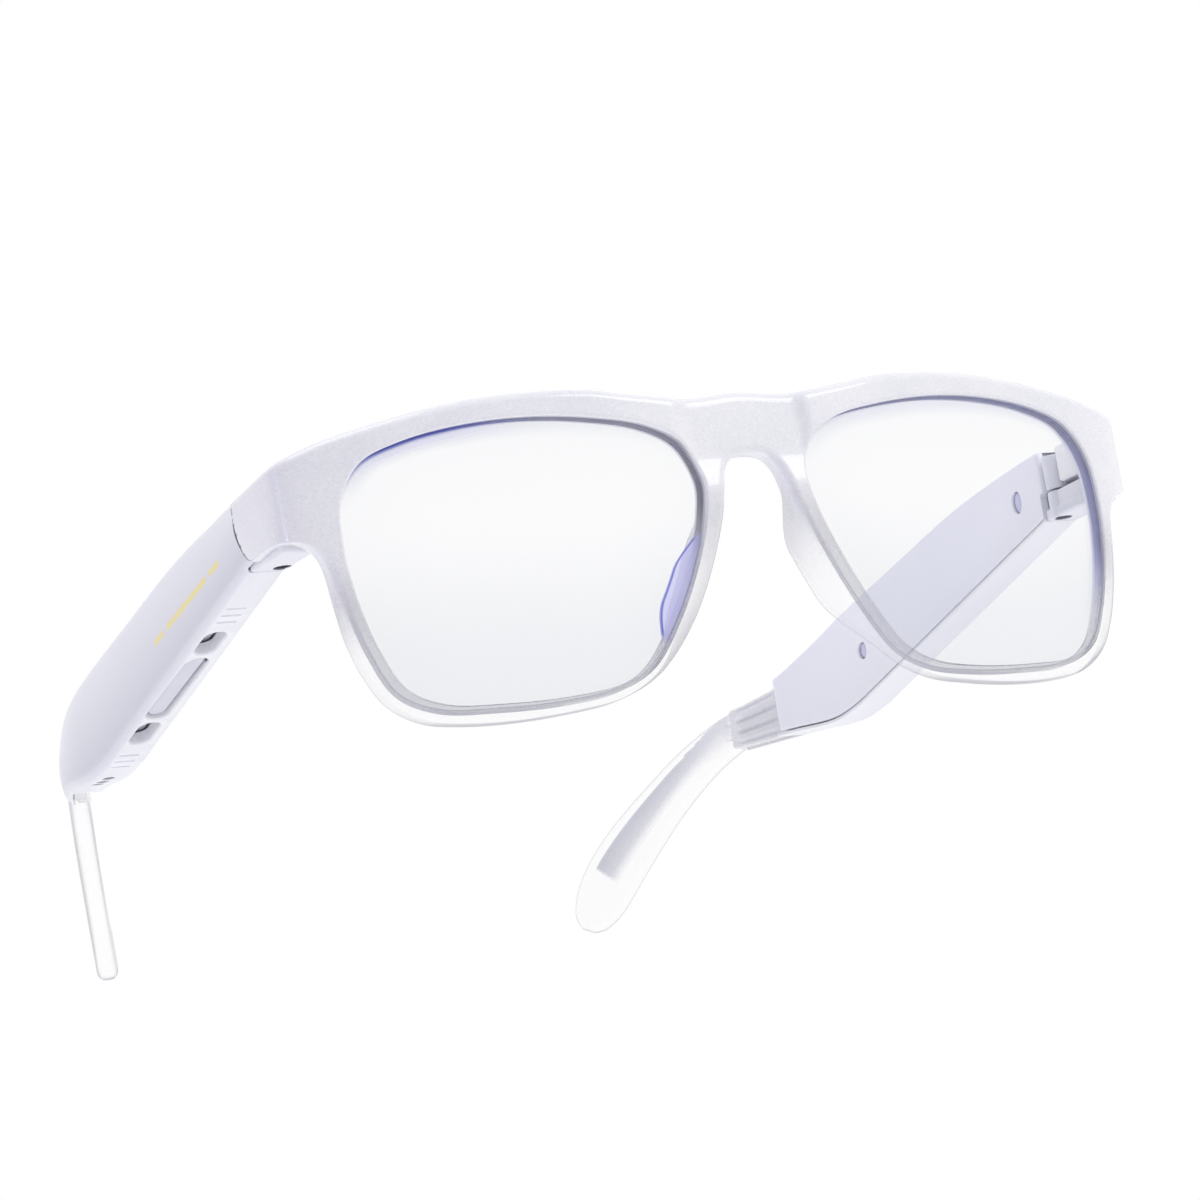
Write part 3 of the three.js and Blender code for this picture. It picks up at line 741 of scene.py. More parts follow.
def lens_finish(side):
    """Nearly clear, with the coating's blue-violet reflection painted along a stretch of the edge."""
    finish = Finish("lens_" + side)
    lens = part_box("lens_" + side)
    middle = (lens[0] + lens[1]) / 2
    sign = 1.0 if side == "left" else -1.0
    out = (finish.axis("X") - middle.x) * sign
    up = finish.axis("Z") - middle.z
    inset = finish.mark()
    cloud = finish.noise(45.0)
    crown = up.rise(0.010, 0.019)
    if side == "left":
        bright = 0.5 * crown + 0.8 * out.rise(0.016, 0.025) * up.rise(-0.018, -0.004) * (1.0 - crown)
        deep = 0.2 * crown
    else:
        nasal = 1.0 - out.rise(-0.016, -0.010)
        bright = (0.25 + 0.6 * out.rise(-0.012, 0.016)) * crown
        deep = (0.1 + 0.9 * out.rise(-0.008, 0.012)) * crown
    # Painted reflection: the band and the edge line copy the coating's blue-violet reflection, placed along
    # the top, the outer side and, on the right lens, a nasal patch.
    band = (1.0 - (inset + 0.5 * cloud).rise(1.5, 4.2)) * bright
    line = (1.0 - inset.rise(0.7, 1.3)) * (0.15 * bright + 0.8 * deep)
    if side == "right":
        width = COATING_WIDTH * (1.0 - up.rise(-0.004, 0.004)) * up.rise(-0.0175, -0.008)
        patch = nasal * (1.0 - (inset - width).rise(-0.2, 0.0)) * width.rise(0.6, 1.2)
        rim_line = nasal * (1.0 - abs(inset - width).rise(0.08, 0.3)) * width.rise(0.9, 1.6)
        band = band + 1.1 * patch
        line = line + 1.3 * rim_line
    grey = 0.035 + 0.08 * (0.006 * cloud - up).rise(-0.004, 0.018) + 0.03 * (1.0 - inset.rise(0.0, 16.0))
    colour = finish.mix(band, LENS_GREY, COATING_REFLECTION_PALE)
    colour = finish.mix(line, colour, COATING_REFLECTION)
    return finish.surface(
        Base_Color=colour,
        Roughness=0.02 + 0.03 * cloud,
        Alpha=grey + 0.5 * band + 0.5 * line,
        Normal=finish.bump(cloud, 0.00005, 0.05),
    )


for side, shape in sides(lens_shape()):
    name = "clear_lens_" + side
    piece(name, shape.mesh(name), "front", "lens_" + side, lens_finish(side))

# ---------------------------------------------------------------------------------------------
# Temple shells: the outer half of each temple, satin white. A crowned outer face, a chamfer
# along its foot and a flat underside. The right one's underside has the speaker ports, the
# button well, the grip ribs and the charging contacts; the left one's is smooth.

# Across the temple: outer and inner faces, the crown of the outer one, walls and floor.
OUT_X = 71.9
IN_X = 64.9
CROWN = 0.55
COVER_T = 1.2
WALL = 1.3
FLOOR = 2.0
COLLAR_OUT = OUT_X - 1.6
# Along it: the slope of its foot, the line down the underside, and where the collar and tail are.
PITCH = 0.227
UNDER_X = 68.4
COLLAR_Y = 116.6
SHELL_END = 128.0
# In the right one's underside: where each thing is, and its length and width.
PORTS = [51.3, 82]
PORT = (7.6, 3.4)
BUTTON_Y = 66.6
BUTTON_WELL = (21.2, 3.7)
RIBS = [39.8, 42, 44.2, 89.6, 91.8, 94]
RIB = (3.3, 0.5)
CONTACTS = [100, 102.8, 105.6]


def underside(y):
    """Height of the straight part of the temple's foot."""
    return 6.2 - PITCH * (y - 29.2)


TOP_EDGE = spline(
    [
        [20, 17.6], [28, 17.5], [40, 16.6], [49, 15.7], [58, 14.4], [76, 11], [96, 7.1],
        [108, 4], [116, 1.5], [128, -0.7], [134, -1.2],
    ]
)
FOOT_EDGE = spline(
    [[y, underside(y)] for y in (18, 40, 60, 80, 88, 92)]
    + [[98.6, -8.95], [102, -9.0], [106, -8.75], [112, -8.2], [119, -7.9], [128, -7.8], [134, -7.8]]
)


def lateral(y):
    """How far the temple has moved inwards at y: a slight lean, then a curve round the head."""
    return -0.0194 * (y - 26) - np.maximum(0, y - 100) ** 2 / 110


def leaned(loop, y):
    """A loop of (x, z) across the temple, set at y along it; y may differ from point to point."""
    return np.stack([loop[:, 0] + lateral(y), np.broadcast_to(y, len(loop)), loop[:, 1]], 1)


def top_of(y):
    return np.interp(y, TOP_EDGE[:, 0], TOP_EDGE[:, 1])


def foot_of(y):
    return np.interp(y, FOOT_EDGE[:, 0], FOOT_EDGE[:, 1])


def arc(centre, radius, start, end, steps=5):
    turns = np.radians(np.linspace(start, end, steps + 1))
    return [(centre[0] + radius * math.cos(t), centre[1] + radius * math.sin(t)) for t in turns]


def shell_section(top, foot, inner):
    """Loop of (x, z, painted shade) across the shell, from its inner top edge outside to its foot."""
    chamfer = min(1.15, 0.2 * (top - foot))
    round_top = min(1.7, 0.28 * (top - foot))
    loop = [(inner, top, 0)]
    loop += [(*p, 0) for p in arc((OUT_X - CROWN - round_top, top - round_top), round_top, 90, 8)]
    for t in np.linspace(0.04, 0.94, 12):
        z = top - round_top - (top - round_top - foot - chamfer) * t
        # The third value is painted shade: it grows towards the foot, and the chamfer below gets some too.
        loop.append((OUT_X - CROWN * (2 * t - 1) ** 2 * (0.9 if t < 0.5 else 0.5), z, 0.5 * t**1.3))
    edge = OUT_X - CROWN * 0.5
    loop += [(*p, 0.42) for p in arc((edge - 0.3, foot + chamfer + 0.12), 0.3, 0, -42, 3)]
    loop += [(*p, 0.15) for p in arc((edge - chamfer - 0.05, foot + 0.3), 0.3, -48, -90, 3)]
    lip = IN_X + 0.15
    loop += [(lip + 0.15, foot, 0), (lip, foot + 0.12, 0), (lip, foot + LIP, 0), (inner, foot + LIP, 0)]
    return np.array(loop)


def seam_of(z):
    return np.interp(z, SEAM_LINE[::-1, 1], SEAM_LINE[::-1, 0])


SEAM_GAP = 0.35
SHELL_START = 24.0
# How far back from the shell's front end the seam gap's painted shade runs.
SEAM_SHADE_RUN = 0.28
SHELL_SETTLED = 42.0
LIP = 0.5


def temple_loops(stations, section):
    """Sections along the temple and their painted shade, with the front end cut to the seam's line; the first
    sections get the seam gap's painted shade.
    """
    loops, shades = [], []
    for y in stations:
        loop = section(y)
        start = seam_of(loop[:, 1]) + SEAM_GAP
        run = y + (start - SHELL_START) * (1 - ease(y, SHELL_START, SHELL_SETTLED))
        loops.append(leaned(loop, run))
        # Sections at the very front of the shell get the highest mark: the seam gap's painted shade.
        shades.append(loop[:, 2] if y > SHELL_START + SEAM_SHADE_RUN else np.ones(len(loop)))
    return loops, np.array(shades)


def lofted(loops, mark=0.0):
    made = Patches()
    made.loft(loops, mark)
    return made


def strip(x0, x1, y0, y1, low, high, count=24):
    """A closed strip that follows the temple's curve, between two heights that y gives."""
    loops = []
    for y in np.linspace(y0, y1, count):
        loops.append(leaned(np.array([(x0, high(y)), (x1, high(y)), (x1, low(y)), (x0, low(y))]), y))
    return lofted(loops)


UNDER_TURN = Matrix.Rotation(-math.atan(PITCH), 3, "X")


def under(points, y):
    """Places drawn on the underside: x across, y along, z into the temple."""
    turned = np.array([UNDER_TURN @ Vector(p) for p in np.reshape(points, (-1, 3))])
    moved = turned + np.array([UNDER_X + lateral(y), y, underside(y)])
    return moved.reshape(np.shape(points))


def pill_loop(length, width, z, corner=12):
    radius, half_run = width / 2, (length - width) / 2
    upper = [(x, y + half_run, z) for x, y in arc((0, 0), radius, 0, 180, corner)]
    lower = [(x, y - half_run, z) for x, y in arc((0, 0), radius, 180, 360, corner)]
    return np.array(upper + lower)


def pill(length, width, profile, y):
    """A pill-shaped plug or cutter: profile lists (grow, height) pairs from below upwards."""
    return lofted([under(pill_loop(length + 2 * grow, width + 2 * grow, z), y) for grow, z in profile])


def disc(x, y, profile, count=24, mark=0.0):
    """A turned, upright plug or cutter: profile lists (radius, height) pairs."""
    turns = np.linspace(0, 2 * math.pi, count, False)
    loops = [[(x + r * math.cos(t), y + r * math.sin(t), z) for t in turns] for r, z in profile]
    return lofted(loops, mark)


WELD = 0.002


def carved(name, shape, cutters, added=(), weld=WELD):
    """The shape with the added ones joined on, less its cutters, as one mesh in millimetres."""
    body = bpy.data.objects.new(name, shape.mesh(name))
    bpy.context.scene.collection.objects.link(body)
    steps = [("UNION", other) for other in added] + [("DIFFERENCE", cutter) for cutter in cutters]
    tools = []
    for i, (operation, other) in enumerate(steps):
        tool = bpy.data.objects.new(f"{name}_tool_{i}", other.mesh(f"{name}_tool_{i}"))
        bpy.context.scene.collection.objects.link(tool)
        step = body.modifiers.new(f"step_{i}", "BOOLEAN")
        step.operation, step.solver, step.object = operation, "MANIFOLD", tool
        tools.append(tool)
    bpy.context.view_layer.update()
    mesh = bpy.data.meshes.new_from_object(body.evaluated_get(bpy.context.evaluated_depsgraph_get()))
    for used in (body, *tools):
        bpy.data.objects.remove(used)
    made = bmesh.new()
    made.from_mesh(mesh)
    if weld:
        bmesh.ops.remove_doubles(made, verts=made.verts, dist=weld)
    finish_edges(made)
    made.to_mesh(mesh)
    made.free()
    return mesh


def shell_cutters(side):
    """What is cut out of a shell: the hinge's room on both, the ports and wells on the right."""
    x, y = HINGE_POINT.x, HINGE_POINT.y
    hollow = strip(60, OUT_X - WALL, 30, 115, lambda y: foot_of(y) + FLOOR, lambda y: top_of(y) - WALL)
    collar_room = strip(50, COLLAR_OUT, COLLAR_Y - 0.3, 134, lambda y: -30, lambda y: 20, 8)
    fold_room = block([60, 18, 0], [68.75, y, 22], 0.1)
    barrel_room = disc(x, y, [(2.35, -2), (2.35, 24)], 72)
    leaf_room = block([64, 26.8, 10.9], [68.6, 31, 15.2], 0.2)
    # Its mark paints the faces it cuts in deep painted shade.
    lip_room = block([62, 20, 3], [70.85, 28.1, 7.75], 0.7, mark=1.0)
    cuts = [hollow, collar_room, fold_room, barrel_room, leaf_room, lip_room]
    if side == "left":
        return cuts
    for y in PORTS:
        cuts.append(pill(*PORT, [(0.55, -1), (0.35, -0.06), (0.08, 0.16), (0, 0.4), (0, 4)], y))
    cuts.append(pill(*BUTTON_WELL, [(0.5, -1), (0.3, -0.06), (0.07, 0.14), (0, 0.35), (0, 4)], BUTTON_Y))
    for y in RIBS:
        loops = []
        for grow, z in ((0.3, -0.6), (0.12, -0.02), (0.0, 0.1), (-0.12, 0.45)):
            flat = pill_loop(RIB[0] + grow, RIB[1] + grow, z, 5)
            loops.append(under(flat[::-1, [1, 0, 2]], y))
        cuts.append(lofted(loops))
    for y in CONTACTS:
        x, z = contact_place(y)
        cuts.append(disc(x, y, [(1.25, z - 2), (1.15, z), (1.0, z + 0.35), (1.0, z + 4)]))
    return [cut.mirrored() for cut in cuts]


def contact_place(y):
    """Where on the foot a charging contact is."""
    return UNDER_X - 0.2 + float(lateral(y)), float(foot_of(y)) - 0.2


def shell_shape():
    seam_shade_end = SHELL_START + SEAM_SHADE_RUN
    stations = np.concatenate(
        [
            [SHELL_START, seam_shade_end - 0.04, seam_shade_end + 0.04],
            np.linspace(25.2, SHELL_SETTLED, 13),
            np.linspace(44, 96, 27),
            np.linspace(97.5, SHELL_END, 26),
        ]
    )
    inner = IN_X + COVER_T + 0.3
    return lofted(*temple_loops(stations, lambda y: shell_section(top_of(y), foot_of(y), inner)))


WHITE = (0.86, 0.865, 0.90)
WHITE_COOL = (0.83, 0.835, 0.885)
# Painted shade on the shells' outer faces.
WHITE_SHADE = (0.60, 0.605, 0.68)
GOLD = (0.80, 0.69, 0.32)
FOIL_ENDS = (Vector((-OUT_X, 35.6, 10.0)), Vector((-OUT_X, 64.4, 4.5)))


def white_plastic(name, first, second, foil=False):
    """Satin paint over moulded plastic: a slow drift of tone, orange peel and a fine tooth, with painted
    shade wherever the mesh's marks call for it.
    """
    finish = Finish(name)
    drift = finish.noise(28.0)
    tooth = finish.noise(2600.0, 3.0)
    peel = finish.noise(320.0)
    colour = finish.mix(drift.rise(0.3, 0.72), first, second)
    colour = finish.mix(0.06 * tooth.rise(0.55, 0.8), colour, PEARL_FLAKE)
    shade = finish.mark()
    # Painted shade: marks up to about 0.5 darken the outer face towards its foot and on the chamfer.
    colour = finish.mix(1.5 * shade * (1.0 - shade.rise(0.5, 0.8)), colour, WHITE_SHADE)
    # Marks near 1 paint deep shade: the seam's gap at the shell's front end, and recesses cut with marked
    # cutters.
    colour = finish.mix(shade.rise(0.6, 0.95), colour, SEAM_AND_RECESS_SHADE)
    roughness = 0.30 + 0.12 * peel + 0.06 * tooth
    metallic = 0.0
    if foil:
        bars = foil_bars(finish)
        colour = finish.mix(bars, colour, GOLD)
        roughness = roughness - 0.08 * bars
        metallic = 0.55 * bars
    return finish.surface(
        Base_Color=colour,
        Roughness=roughness,
        Metallic=metallic,
        Coat_Weight=0.25,
        Coat_Roughness=0.2,
        Normal=finish.bump(tooth + 0.8 * peel, 0.00003, 0.3),
    )


def foil_bars(finish):
    """Three slim hot-foil bars in a row on the right temple's outer face."""
    start, end = (TO_FRAME @ p for p in FOIL_ENDS)
    length = (end - start).length
    step = (end - start) / length
    y, z = finish.axis("Y") - start.y, finish.axis("Z") - start.z
    run = y * step.y + z * step.z
    rise = z * step.y - y * step.z
    bars = 0.0
    for first, last in ((0, 0.0042), (0.0056, length - 0.0056), (length - 0.0042, length)):
        bars = bars + run.rise(first, first + 0.0001) * (1.0 - run.rise(last - 0.0001, last))
    slim = 1.0 - abs(rise).rise(0.00042, 0.00052)
    outside = 1.0 - finish.axis("X").rise(-0.0706, -0.0700)
    return bars * slim * outside


for side, shape in sides(shell_shape()):
    name = "shell_" + side
    white = white_plastic("satin_white_" + side, WHITE, WHITE_COOL, foil=side == "right")
    mesh = carved(name, shape, shell_cutters(side))
    piece(name, mesh, side + "_temple", "temple_" + name, white)

# ---------------------------------------------------------------------------------------------
# Temple covers: the inner half, a moulded plate glued into the shell. It is a slightly cooler
# white, with a notch for the hinge and two holes for the oval windows.

WINDOW_HALF = 1.1
WINDOWS = [[35.3, 11.4, 1.6], [88.8, 0.2, 1.2]]


def end_inset(k, count, insets):
    """How much smaller a section near either end of a loft is, to round the end."""
    nearest = min(k, count - 1 - k)
    return insets[nearest] if nearest < len(insets) else 0


def cover_shape():
    loops = []
    round_in = 0.45
    ahead, behind = [27.5, 27.62, 27.85, 28.3], [115.35, 115.5, 115.6]
    stations = np.concatenate([ahead, np.linspace(29.5, 99, 34), np.linspace(100.5, 115.0, 12), behind])
    for k, y in enumerate(stations):
        end = end_inset(k, len(stations), (0.35, 0.14, 0.04))
        top, foot = float(top_of(y)) - 0.03 - end, float(foot_of(y)) + LIP + 0.25 + end
        loop = [(IN_X + COVER_T, top), (IN_X + COVER_T, foot)]
        loop += arc((IN_X + round_in + end, foot + round_in), round_in, -90, -180, 4)
        loop += [(IN_X + end, foot + (top - foot) * t) for t in (0.2, 0.4, 0.6, 0.8)]
        loop += arc((IN_X + round_in + end, top - round_in), round_in, 180, 90, 4)
        loops.append(leaned(np.array(loop), y))
    return lofted(loops)


def window(y, z, half, profile):
    """A window or its hole through the inner face: profile lists (grow, depth) pairs."""
    x = IN_X + float(lateral(y))
    loops = []
    for grow, depth in profile:
        turns = np.linspace(0, 2 * math.pi, 28, False)
        across, upright = WINDOW_HALF + grow, half + grow
        loops.append([(x + depth, y + across * math.cos(t), z + upright * math.sin(t)) for t in turns])
    return lofted(loops)


def cover_cutters():
    cuts = [block([60, 18, 4], [70, 28.4, 11], 0.5)]
    for y, z, half in WINDOWS:
        cuts.append(window(y, z, half, [(0.45, -1.0), (0.4, -0.05), (0.2, 0.15), (0.2, 3.0)]))
    return cuts


cover_material = white_plastic("cool_white", (0.89, 0.895, 0.955), (0.86, 0.865, 0.935))
for side, shape, *cuts in sides(cover_shape(), *cover_cutters()):
    name = "cover_" + side
    piece(name, carved(name, shape, cuts), side + "_temple", "temple_" + name, cover_material)

# ---------------------------------------------------------------------------------------------
# Proximity windows: lavender plugs, darker than the cover, pressed into the cover from behind.

WINDOW_VIOLET = (0.50, 0.50, 0.72)


def window_finish():
    finish = Finish("lavender_window")
    cloud = finish.noise(900.0)
    return finish.surface(
        Base_Color=finish.mix(cloud, WINDOW_VIOLET, (0.62, 0.62, 0.82)),
        Roughness=0.16 + 0.08 * cloud,
        Coat_Weight=0.5,
        Normal=finish.bump(cloud, 0.00002, 0.2),
    )


window_material = window_finish()
for row, (y, z, half) in zip(("front", "rear"), WINDOWS):
    plug = window(y, z, half, [(0, 1.2), (0, 0.5), (-0.06, 0.38), (-0.25, 0.31), (-0.7, 0.3)])
    for side, shape in sides(plug):
        name = f"window_{row}_{side}"
        mesh = shape.mesh(name, crease=60)
        piece(name, mesh, side + "_temple", "sensor_" + name, window_material)

# ---------------------------------------------------------------------------------------------
# Tip collars: light grey translucent sleeves between each shell's tail and its tip, with three
# raised ribs along the inner face.

COLLAR_HALF = 1.5
COLLAR_MID = COLLAR_OUT - 0.3 - COLLAR_HALF
RIB_COUNT = 3


def collar_shape():
    """The section has ribs on its inner face, and the marks say where the grooves between are, for the
    painted shade there.
    """
    loops, marks = [], []
    ahead, behind = [COLLAR_Y, COLLAR_Y + 0.15, COLLAR_Y + 0.45], [127.6, 127.88, SHELL_END]
    stations = np.concatenate([ahead, np.linspace(117.8, 127.2, 22), behind])
    for k, y in enumerate(stations):
        end = end_inset(k, len(stations), (0.4, 0.16, 0.04))
        top, foot = float(top_of(y)) - 0.25 - end, float(foot_of(y)) + 0.25 + end
        outer, inner = COLLAR_MID + COLLAR_HALF - end, COLLAR_MID - COLLAR_HALF + end
        tails = (1 - ease(y, SHELL_END - 2.6, SHELL_END - 1.0)) * ease(y, COLLAR_Y + 0.8, COLLAR_Y + 2.2)
        loop = [(outer, top - 0.4), (outer, foot + 0.4)]
        loop += arc((outer - 0.5, foot + 0.5), 0.5, 0, -90, 3)
        loop += arc((inner + 0.9, foot + 0.5), 0.5, -90, -180, 4)
        groove = [0.0] * len(loop)
        for t in np.linspace(0.1, 0.9, 33):
            ridge = 0.5 * (1 - math.cos(2 * math.pi * RIB_COUNT * (t - 0.1) / 0.8))
            loop.append((inner + 0.42 - 0.4 * tails * ridge, foot + (top - foot) * t))
            groove.append(tails * (1 - ridge) ** 2)
        loop += arc((inner + 0.9, top - 0.5), 0.5, 180, 90, 4)
        loop += arc((outer - 0.5, top - 0.5), 0.5, 90, 0, 3)
        marks.append(groove + [0.0] * (len(loop) - len(groove)))
        loops.append(leaned(np.array(loop), y))
    return lofted(loops, np.array(marks))


def collar_finish():
    finish = Finish("grey_collar")
    drift = finish.noise(90.0)
    tooth = finish.noise(2200.0)
    # Painted shade: the grooves between the ribs are painted darker and more opaque.
    groove = finish.mark()
    colour = finish.mix(drift, (0.93, 0.93, 0.96), (0.97, 0.97, 0.98))
    return finish.surface(
        Base_Color=finish.mix(0.45 * groove, colour, (0.34, 0.34, 0.42)),
        Roughness=0.22 + 0.12 * tooth,
        Alpha=0.74 + 0.2 * groove,
        Coat_Weight=0.5,
        Coat_Roughness=0.08,
        Normal=finish.bump(tooth, 0.00003, 0.3),
    )


collar_cut = strip(COLLAR_MID - 0.8, COLLAR_MID + 0.8, 121.7, 132, lambda y: -5.9, lambda y: -2.7, 8)
collar_material = collar_finish()
for side, shape, cut in sides(collar_shape(), collar_cut):
    name = "collar_" + side
    piece(name, carved(name, shape, [cut]), side + "_temple", "tip_" + name, collar_material)

# ---------------------------------------------------------------------------------------------
# Temple tips: clear polished plastic, bent down behind the ear and widening to a paddle. A
# tongue at the front end is glued into the collar.

TIP_HALF = 1.8
TIP_LINE = spline(
    [
        [128.35, -4.3, 3.3], [131, -5.1, 3.45], [135, -6.6, 3.6], [140, -9.1, 3.9], [145, -12.2, 4.2],
        [150, -15.7, 4.7], [155, -19.5, 5.1], [158.6, -22.7, 5.15], [161.6, -25.9, 4.75], [163.2, -28.0, 3.9],
        [164.2, -29.6, 2.7], [164.75, -30.5, 1.3],
    ],
    steps=6,
)
TIP_START = 126
TIP_LEAN = 0.39
TIP_CURVE = 0.001
TIP_TRIM = 0.55
PANEL_END = 158.2


def tip_shift(y):
    return 61.2 - TIP_LEAN * (y - TIP_START) - TIP_CURVE * (y - TIP_START) ** 2


def panel_shade(y, across):
    """The darker panel in a tip: dark along its upper edge, fading out below; 0 off the panel."""
    spread = float(ease(y, 128, 139))
    high = 0.95 - 0.42 * spread
    low = -0.95 + 0.40 * spread
    if not low < across < high:
        return 0.0
    depth = (across - low) / (high - low)
    return depth * float((1 - ease(y, PANEL_END - 0.6, PANEL_END)) * (0.55 + 0.45 * ease(y, 130, 146)))


def tip_shape():
    """Flattened ovals along the tip's line, leaning in; the panel's marks are on its inner face."""
    run = np.gradient(TIP_LINE[:, :2], axis=0)
    run /= np.linalg.norm(run, axis=1)[:, None]
    lean = np.arctan(-TIP_LEAN - 2 * TIP_CURVE * (TIP_LINE[:, 0] - TIP_START))
    loops, marks = [], []
    for k, (y, z, half) in enumerate(TIP_LINE):
        y -= TIP_TRIM * float(ease(y, 148, 164))
        shrink = 1.0 if k else 0.9
        thick = TIP_HALF * shrink * min(1, (half / 2.9) ** 0.55)
        normal = (-run[k][1], run[k][0]) if k else (0, 1)
        loop, shades = [], []
        for t in np.linspace(0, 2 * math.pi, 64, False):
            c, s = math.cos(t), math.sin(t)
            across = half * shrink * math.copysign(abs(c) ** 0.62, c)
            aside = thick * math.copysign(abs(s) ** 0.75, s)
            side_y = y + across * normal[0]
            x = tip_shift(side_y) + aside * math.cos(lean[k])
            loop.append((x, side_y - aside * math.sin(lean[k]), z + across * normal[1]))
            shades.append(panel_shade(y, across / half) if s < -0.02 else 0.0)
        loops.append(loop)
        marks.append(shades)
    return lofted(loops, np.array(marks)).join(tongue())


def tongue():
    """A flat tongue that lines up with the collar at first, and then half with the tip."""
    loops = []
    for y in np.linspace(122, 130.2, 8):
        shift = COLLAR_MID + float(lateral(y))
        if y >= SHELL_END:
            shift = (shift + tip_shift(y)) / 2
        loops.append([(shift + x, y, z) for x, z in ((-0.5, -3), (0.5, -3), (0.5, -5.6), (-0.5, -5.6))])
    return lofted(loops)


def tip_finish():
    finish = Finish("clear_tip")
    panel = finish.mark()
    colour, roughness, cover = clear_plastic(finish)
    panel_tone = finish.mix(panel.rise(0.05, 1.0), (0.78, 0.78, 0.84), (0.46, 0.46, 0.57))
    return finish.surface(
        Base_Color=finish.mix(panel.rise(0.0, 0.08), colour, panel_tone),
        Roughness=roughness,
        Alpha=0.6 * cover + panel.rise(0.0, 0.45) * 0.6,
        Normal=finish.bump(finish.noise(300.0), 0.00002, 0.1),
    )


tip_material = tip_finish()
for side, shape in sides(tip_shape()):
    name = "tip_" + side
    piece(name, shape.mesh(name, crease=60), side + "_temple", "temple_" + name, tip_material)

# ---------------------------------------------------------------------------------------------
# Hinges: a white leaf moulded to the front and one let into the temple meet at a barrel, and a
# dark steel screw from below holds them. The front's leaf has a flat lip under the seam.

BARREL = 1.8
BARREL_ROUND = [(0.3, 0), (0.1, 0.08), (0, 0.3)]
PIN = 0.75
BORE = PIN + 0.3
FRONT_BARREL = (6.4, 10.6)
TEMPLE_BARREL = (10.9, 16.2)


def barrel(low, high):
    """Round barrel on the hinge line, rounded at both ends."""
    x, y = HINGE_POINT.x, HINGE_POINT.y
    foot = [(BARREL - inset, low + up) for inset, up in BARREL_ROUND]
    head = [(BARREL - inset, high - up) for inset, up in BARREL_ROUND[::-1]]
    return disc(x, y, foot + head, 48)


hinge_x, hinge_y = HINGE_POINT.x, HINGE_POINT.y
front_arm = block([65.3, 16.3, 7.5], [68.2, hinge_y, FRONT_BARREL[1]], 0.35)
front_lip = block([64.95, 15.6, 6.35], [70.55, 27.8, 8.3], 0.6)
# Its mark paints the countersink's faces in deep painted shade.
countersink = disc(hinge_x, hinge_y, [(1.5, 4), (1.45, 6.36), (1.25, 6.5), (1.25, 7.6)], mark=1.0)
front_bore = disc(hinge_x, hinge_y, [(BORE, 4.5), (BORE, 12)])
temple_arm = block([66.7, hinge_y, TEMPLE_BARREL[0] + 0.4], [68, 37, TEMPLE_BARREL[1] - 1.6], 0.35)
temple_bore = disc(hinge_x, hinge_y, [(BORE, 9), (BORE, 15.4)])
leaf_material = white_plastic("leaf_white", (0.80, 0.805, 0.86), (0.76, 0.765, 0.84))
front_parts = (barrel(*FRONT_BARREL), front_arm, front_lip, countersink, front_bore)
for side, shape, arm, lip, *holes in sides(*front_parts):
    name = "hinge_leaf_front_" + side
    mesh = carved(name, shape, holes, (arm, lip), weld=0)
    piece(name, mesh, "front", "hinge_front_leaf_" + side, leaf_material)
for side, shape, arm, hole in sides(barrel(*TEMPLE_BARREL), temple_arm, temple_bore):
    name = "hinge_leaf_temple_" + side
    mesh = carved(name, shape, [hole], [arm], weld=0)
    piece(name, mesh, side + "_temple", "hinge_temple_leaf_" + side, leaf_material)


def metal(name, base, roughness, scale):
    """Turned or plated metal with fine tool lines."""
    finish = Finish(name)
    lines = finish.noise(1.0, stretch=scale)
    smudge = finish.noise(700.0)
    dark = tuple(0.72 * c for c in base)
    return finish.surface(
        Base_Color=finish.mix(lines, base, dark),
        Metallic=1.0,
        Roughness=roughness + 0.15 * smudge,
        Normal=finish.bump(lines, 0.00002, 0.4),
    )


SCREW_HEAD = [(0.75, 7.0), (0.95, 7.06), (1.02, 7.2), (1.02, 7.5), (0.8, 7.6)]
SCREW_SHANK = [(PIN, 7.64), (PIN, 14.8), (0.55, 15.05)]
slot = block([hinge_x - 1.3, hinge_y - 0.13, 6.5], [hinge_x + 1.3, hinge_y + 0.13, 7.3], 0.02, 1)
steel = metal("screw_steel", (0.22, 0.22, 0.25), 0.25, (3000, 3000, 300))
for side, shape, cut in sides(disc(hinge_x, hinge_y, SCREW_HEAD + SCREW_SHANK, 40), slot):
    name = "hinge_screw_head_" + side
    piece(name, carved(name, shape, [cut]), side + "_temple", "hinge_screw_" + side, steel)

# ---------------------------------------------------------------------------------------------
# Button: a long dished cap of light grey plastic in the right temple's well, between its two
# speaker ports. It slides in the floor of the shell and presses a dome switch.


def button_finish():
    finish = Finish("button_cap")
    tooth = finish.noise(1800.0, 3.0)
    drift = finish.noise(120.0)
    return finish.surface(
        Base_Color=finish.mix(drift, (0.60, 0.605, 0.68), (0.68, 0.685, 0.75)),
        Roughness=0.34 + 0.16 * tooth,
        Coat_Weight=0.15,
        Normal=finish.bump(tooth, 0.00003, 0.4),
    )


BUTTON_CAP = (20.4, 2.9)
cap = pill(*BUTTON_CAP, [(-0.45, 0.72), (-0.2, 0.62), (-0.06, 0.72), (0, 0.9), (0, 2.8)], BUTTON_Y).mirrored()
name = "button_cap_right"
piece(name, cap.mesh(name), "right_button", "button_right", button_finish())

# ---------------------------------------------------------------------------------------------
# Speakers: two flat moulded boxes in each temple, above the ports on the right one. Each has a
# pale woven mesh over its mouth.


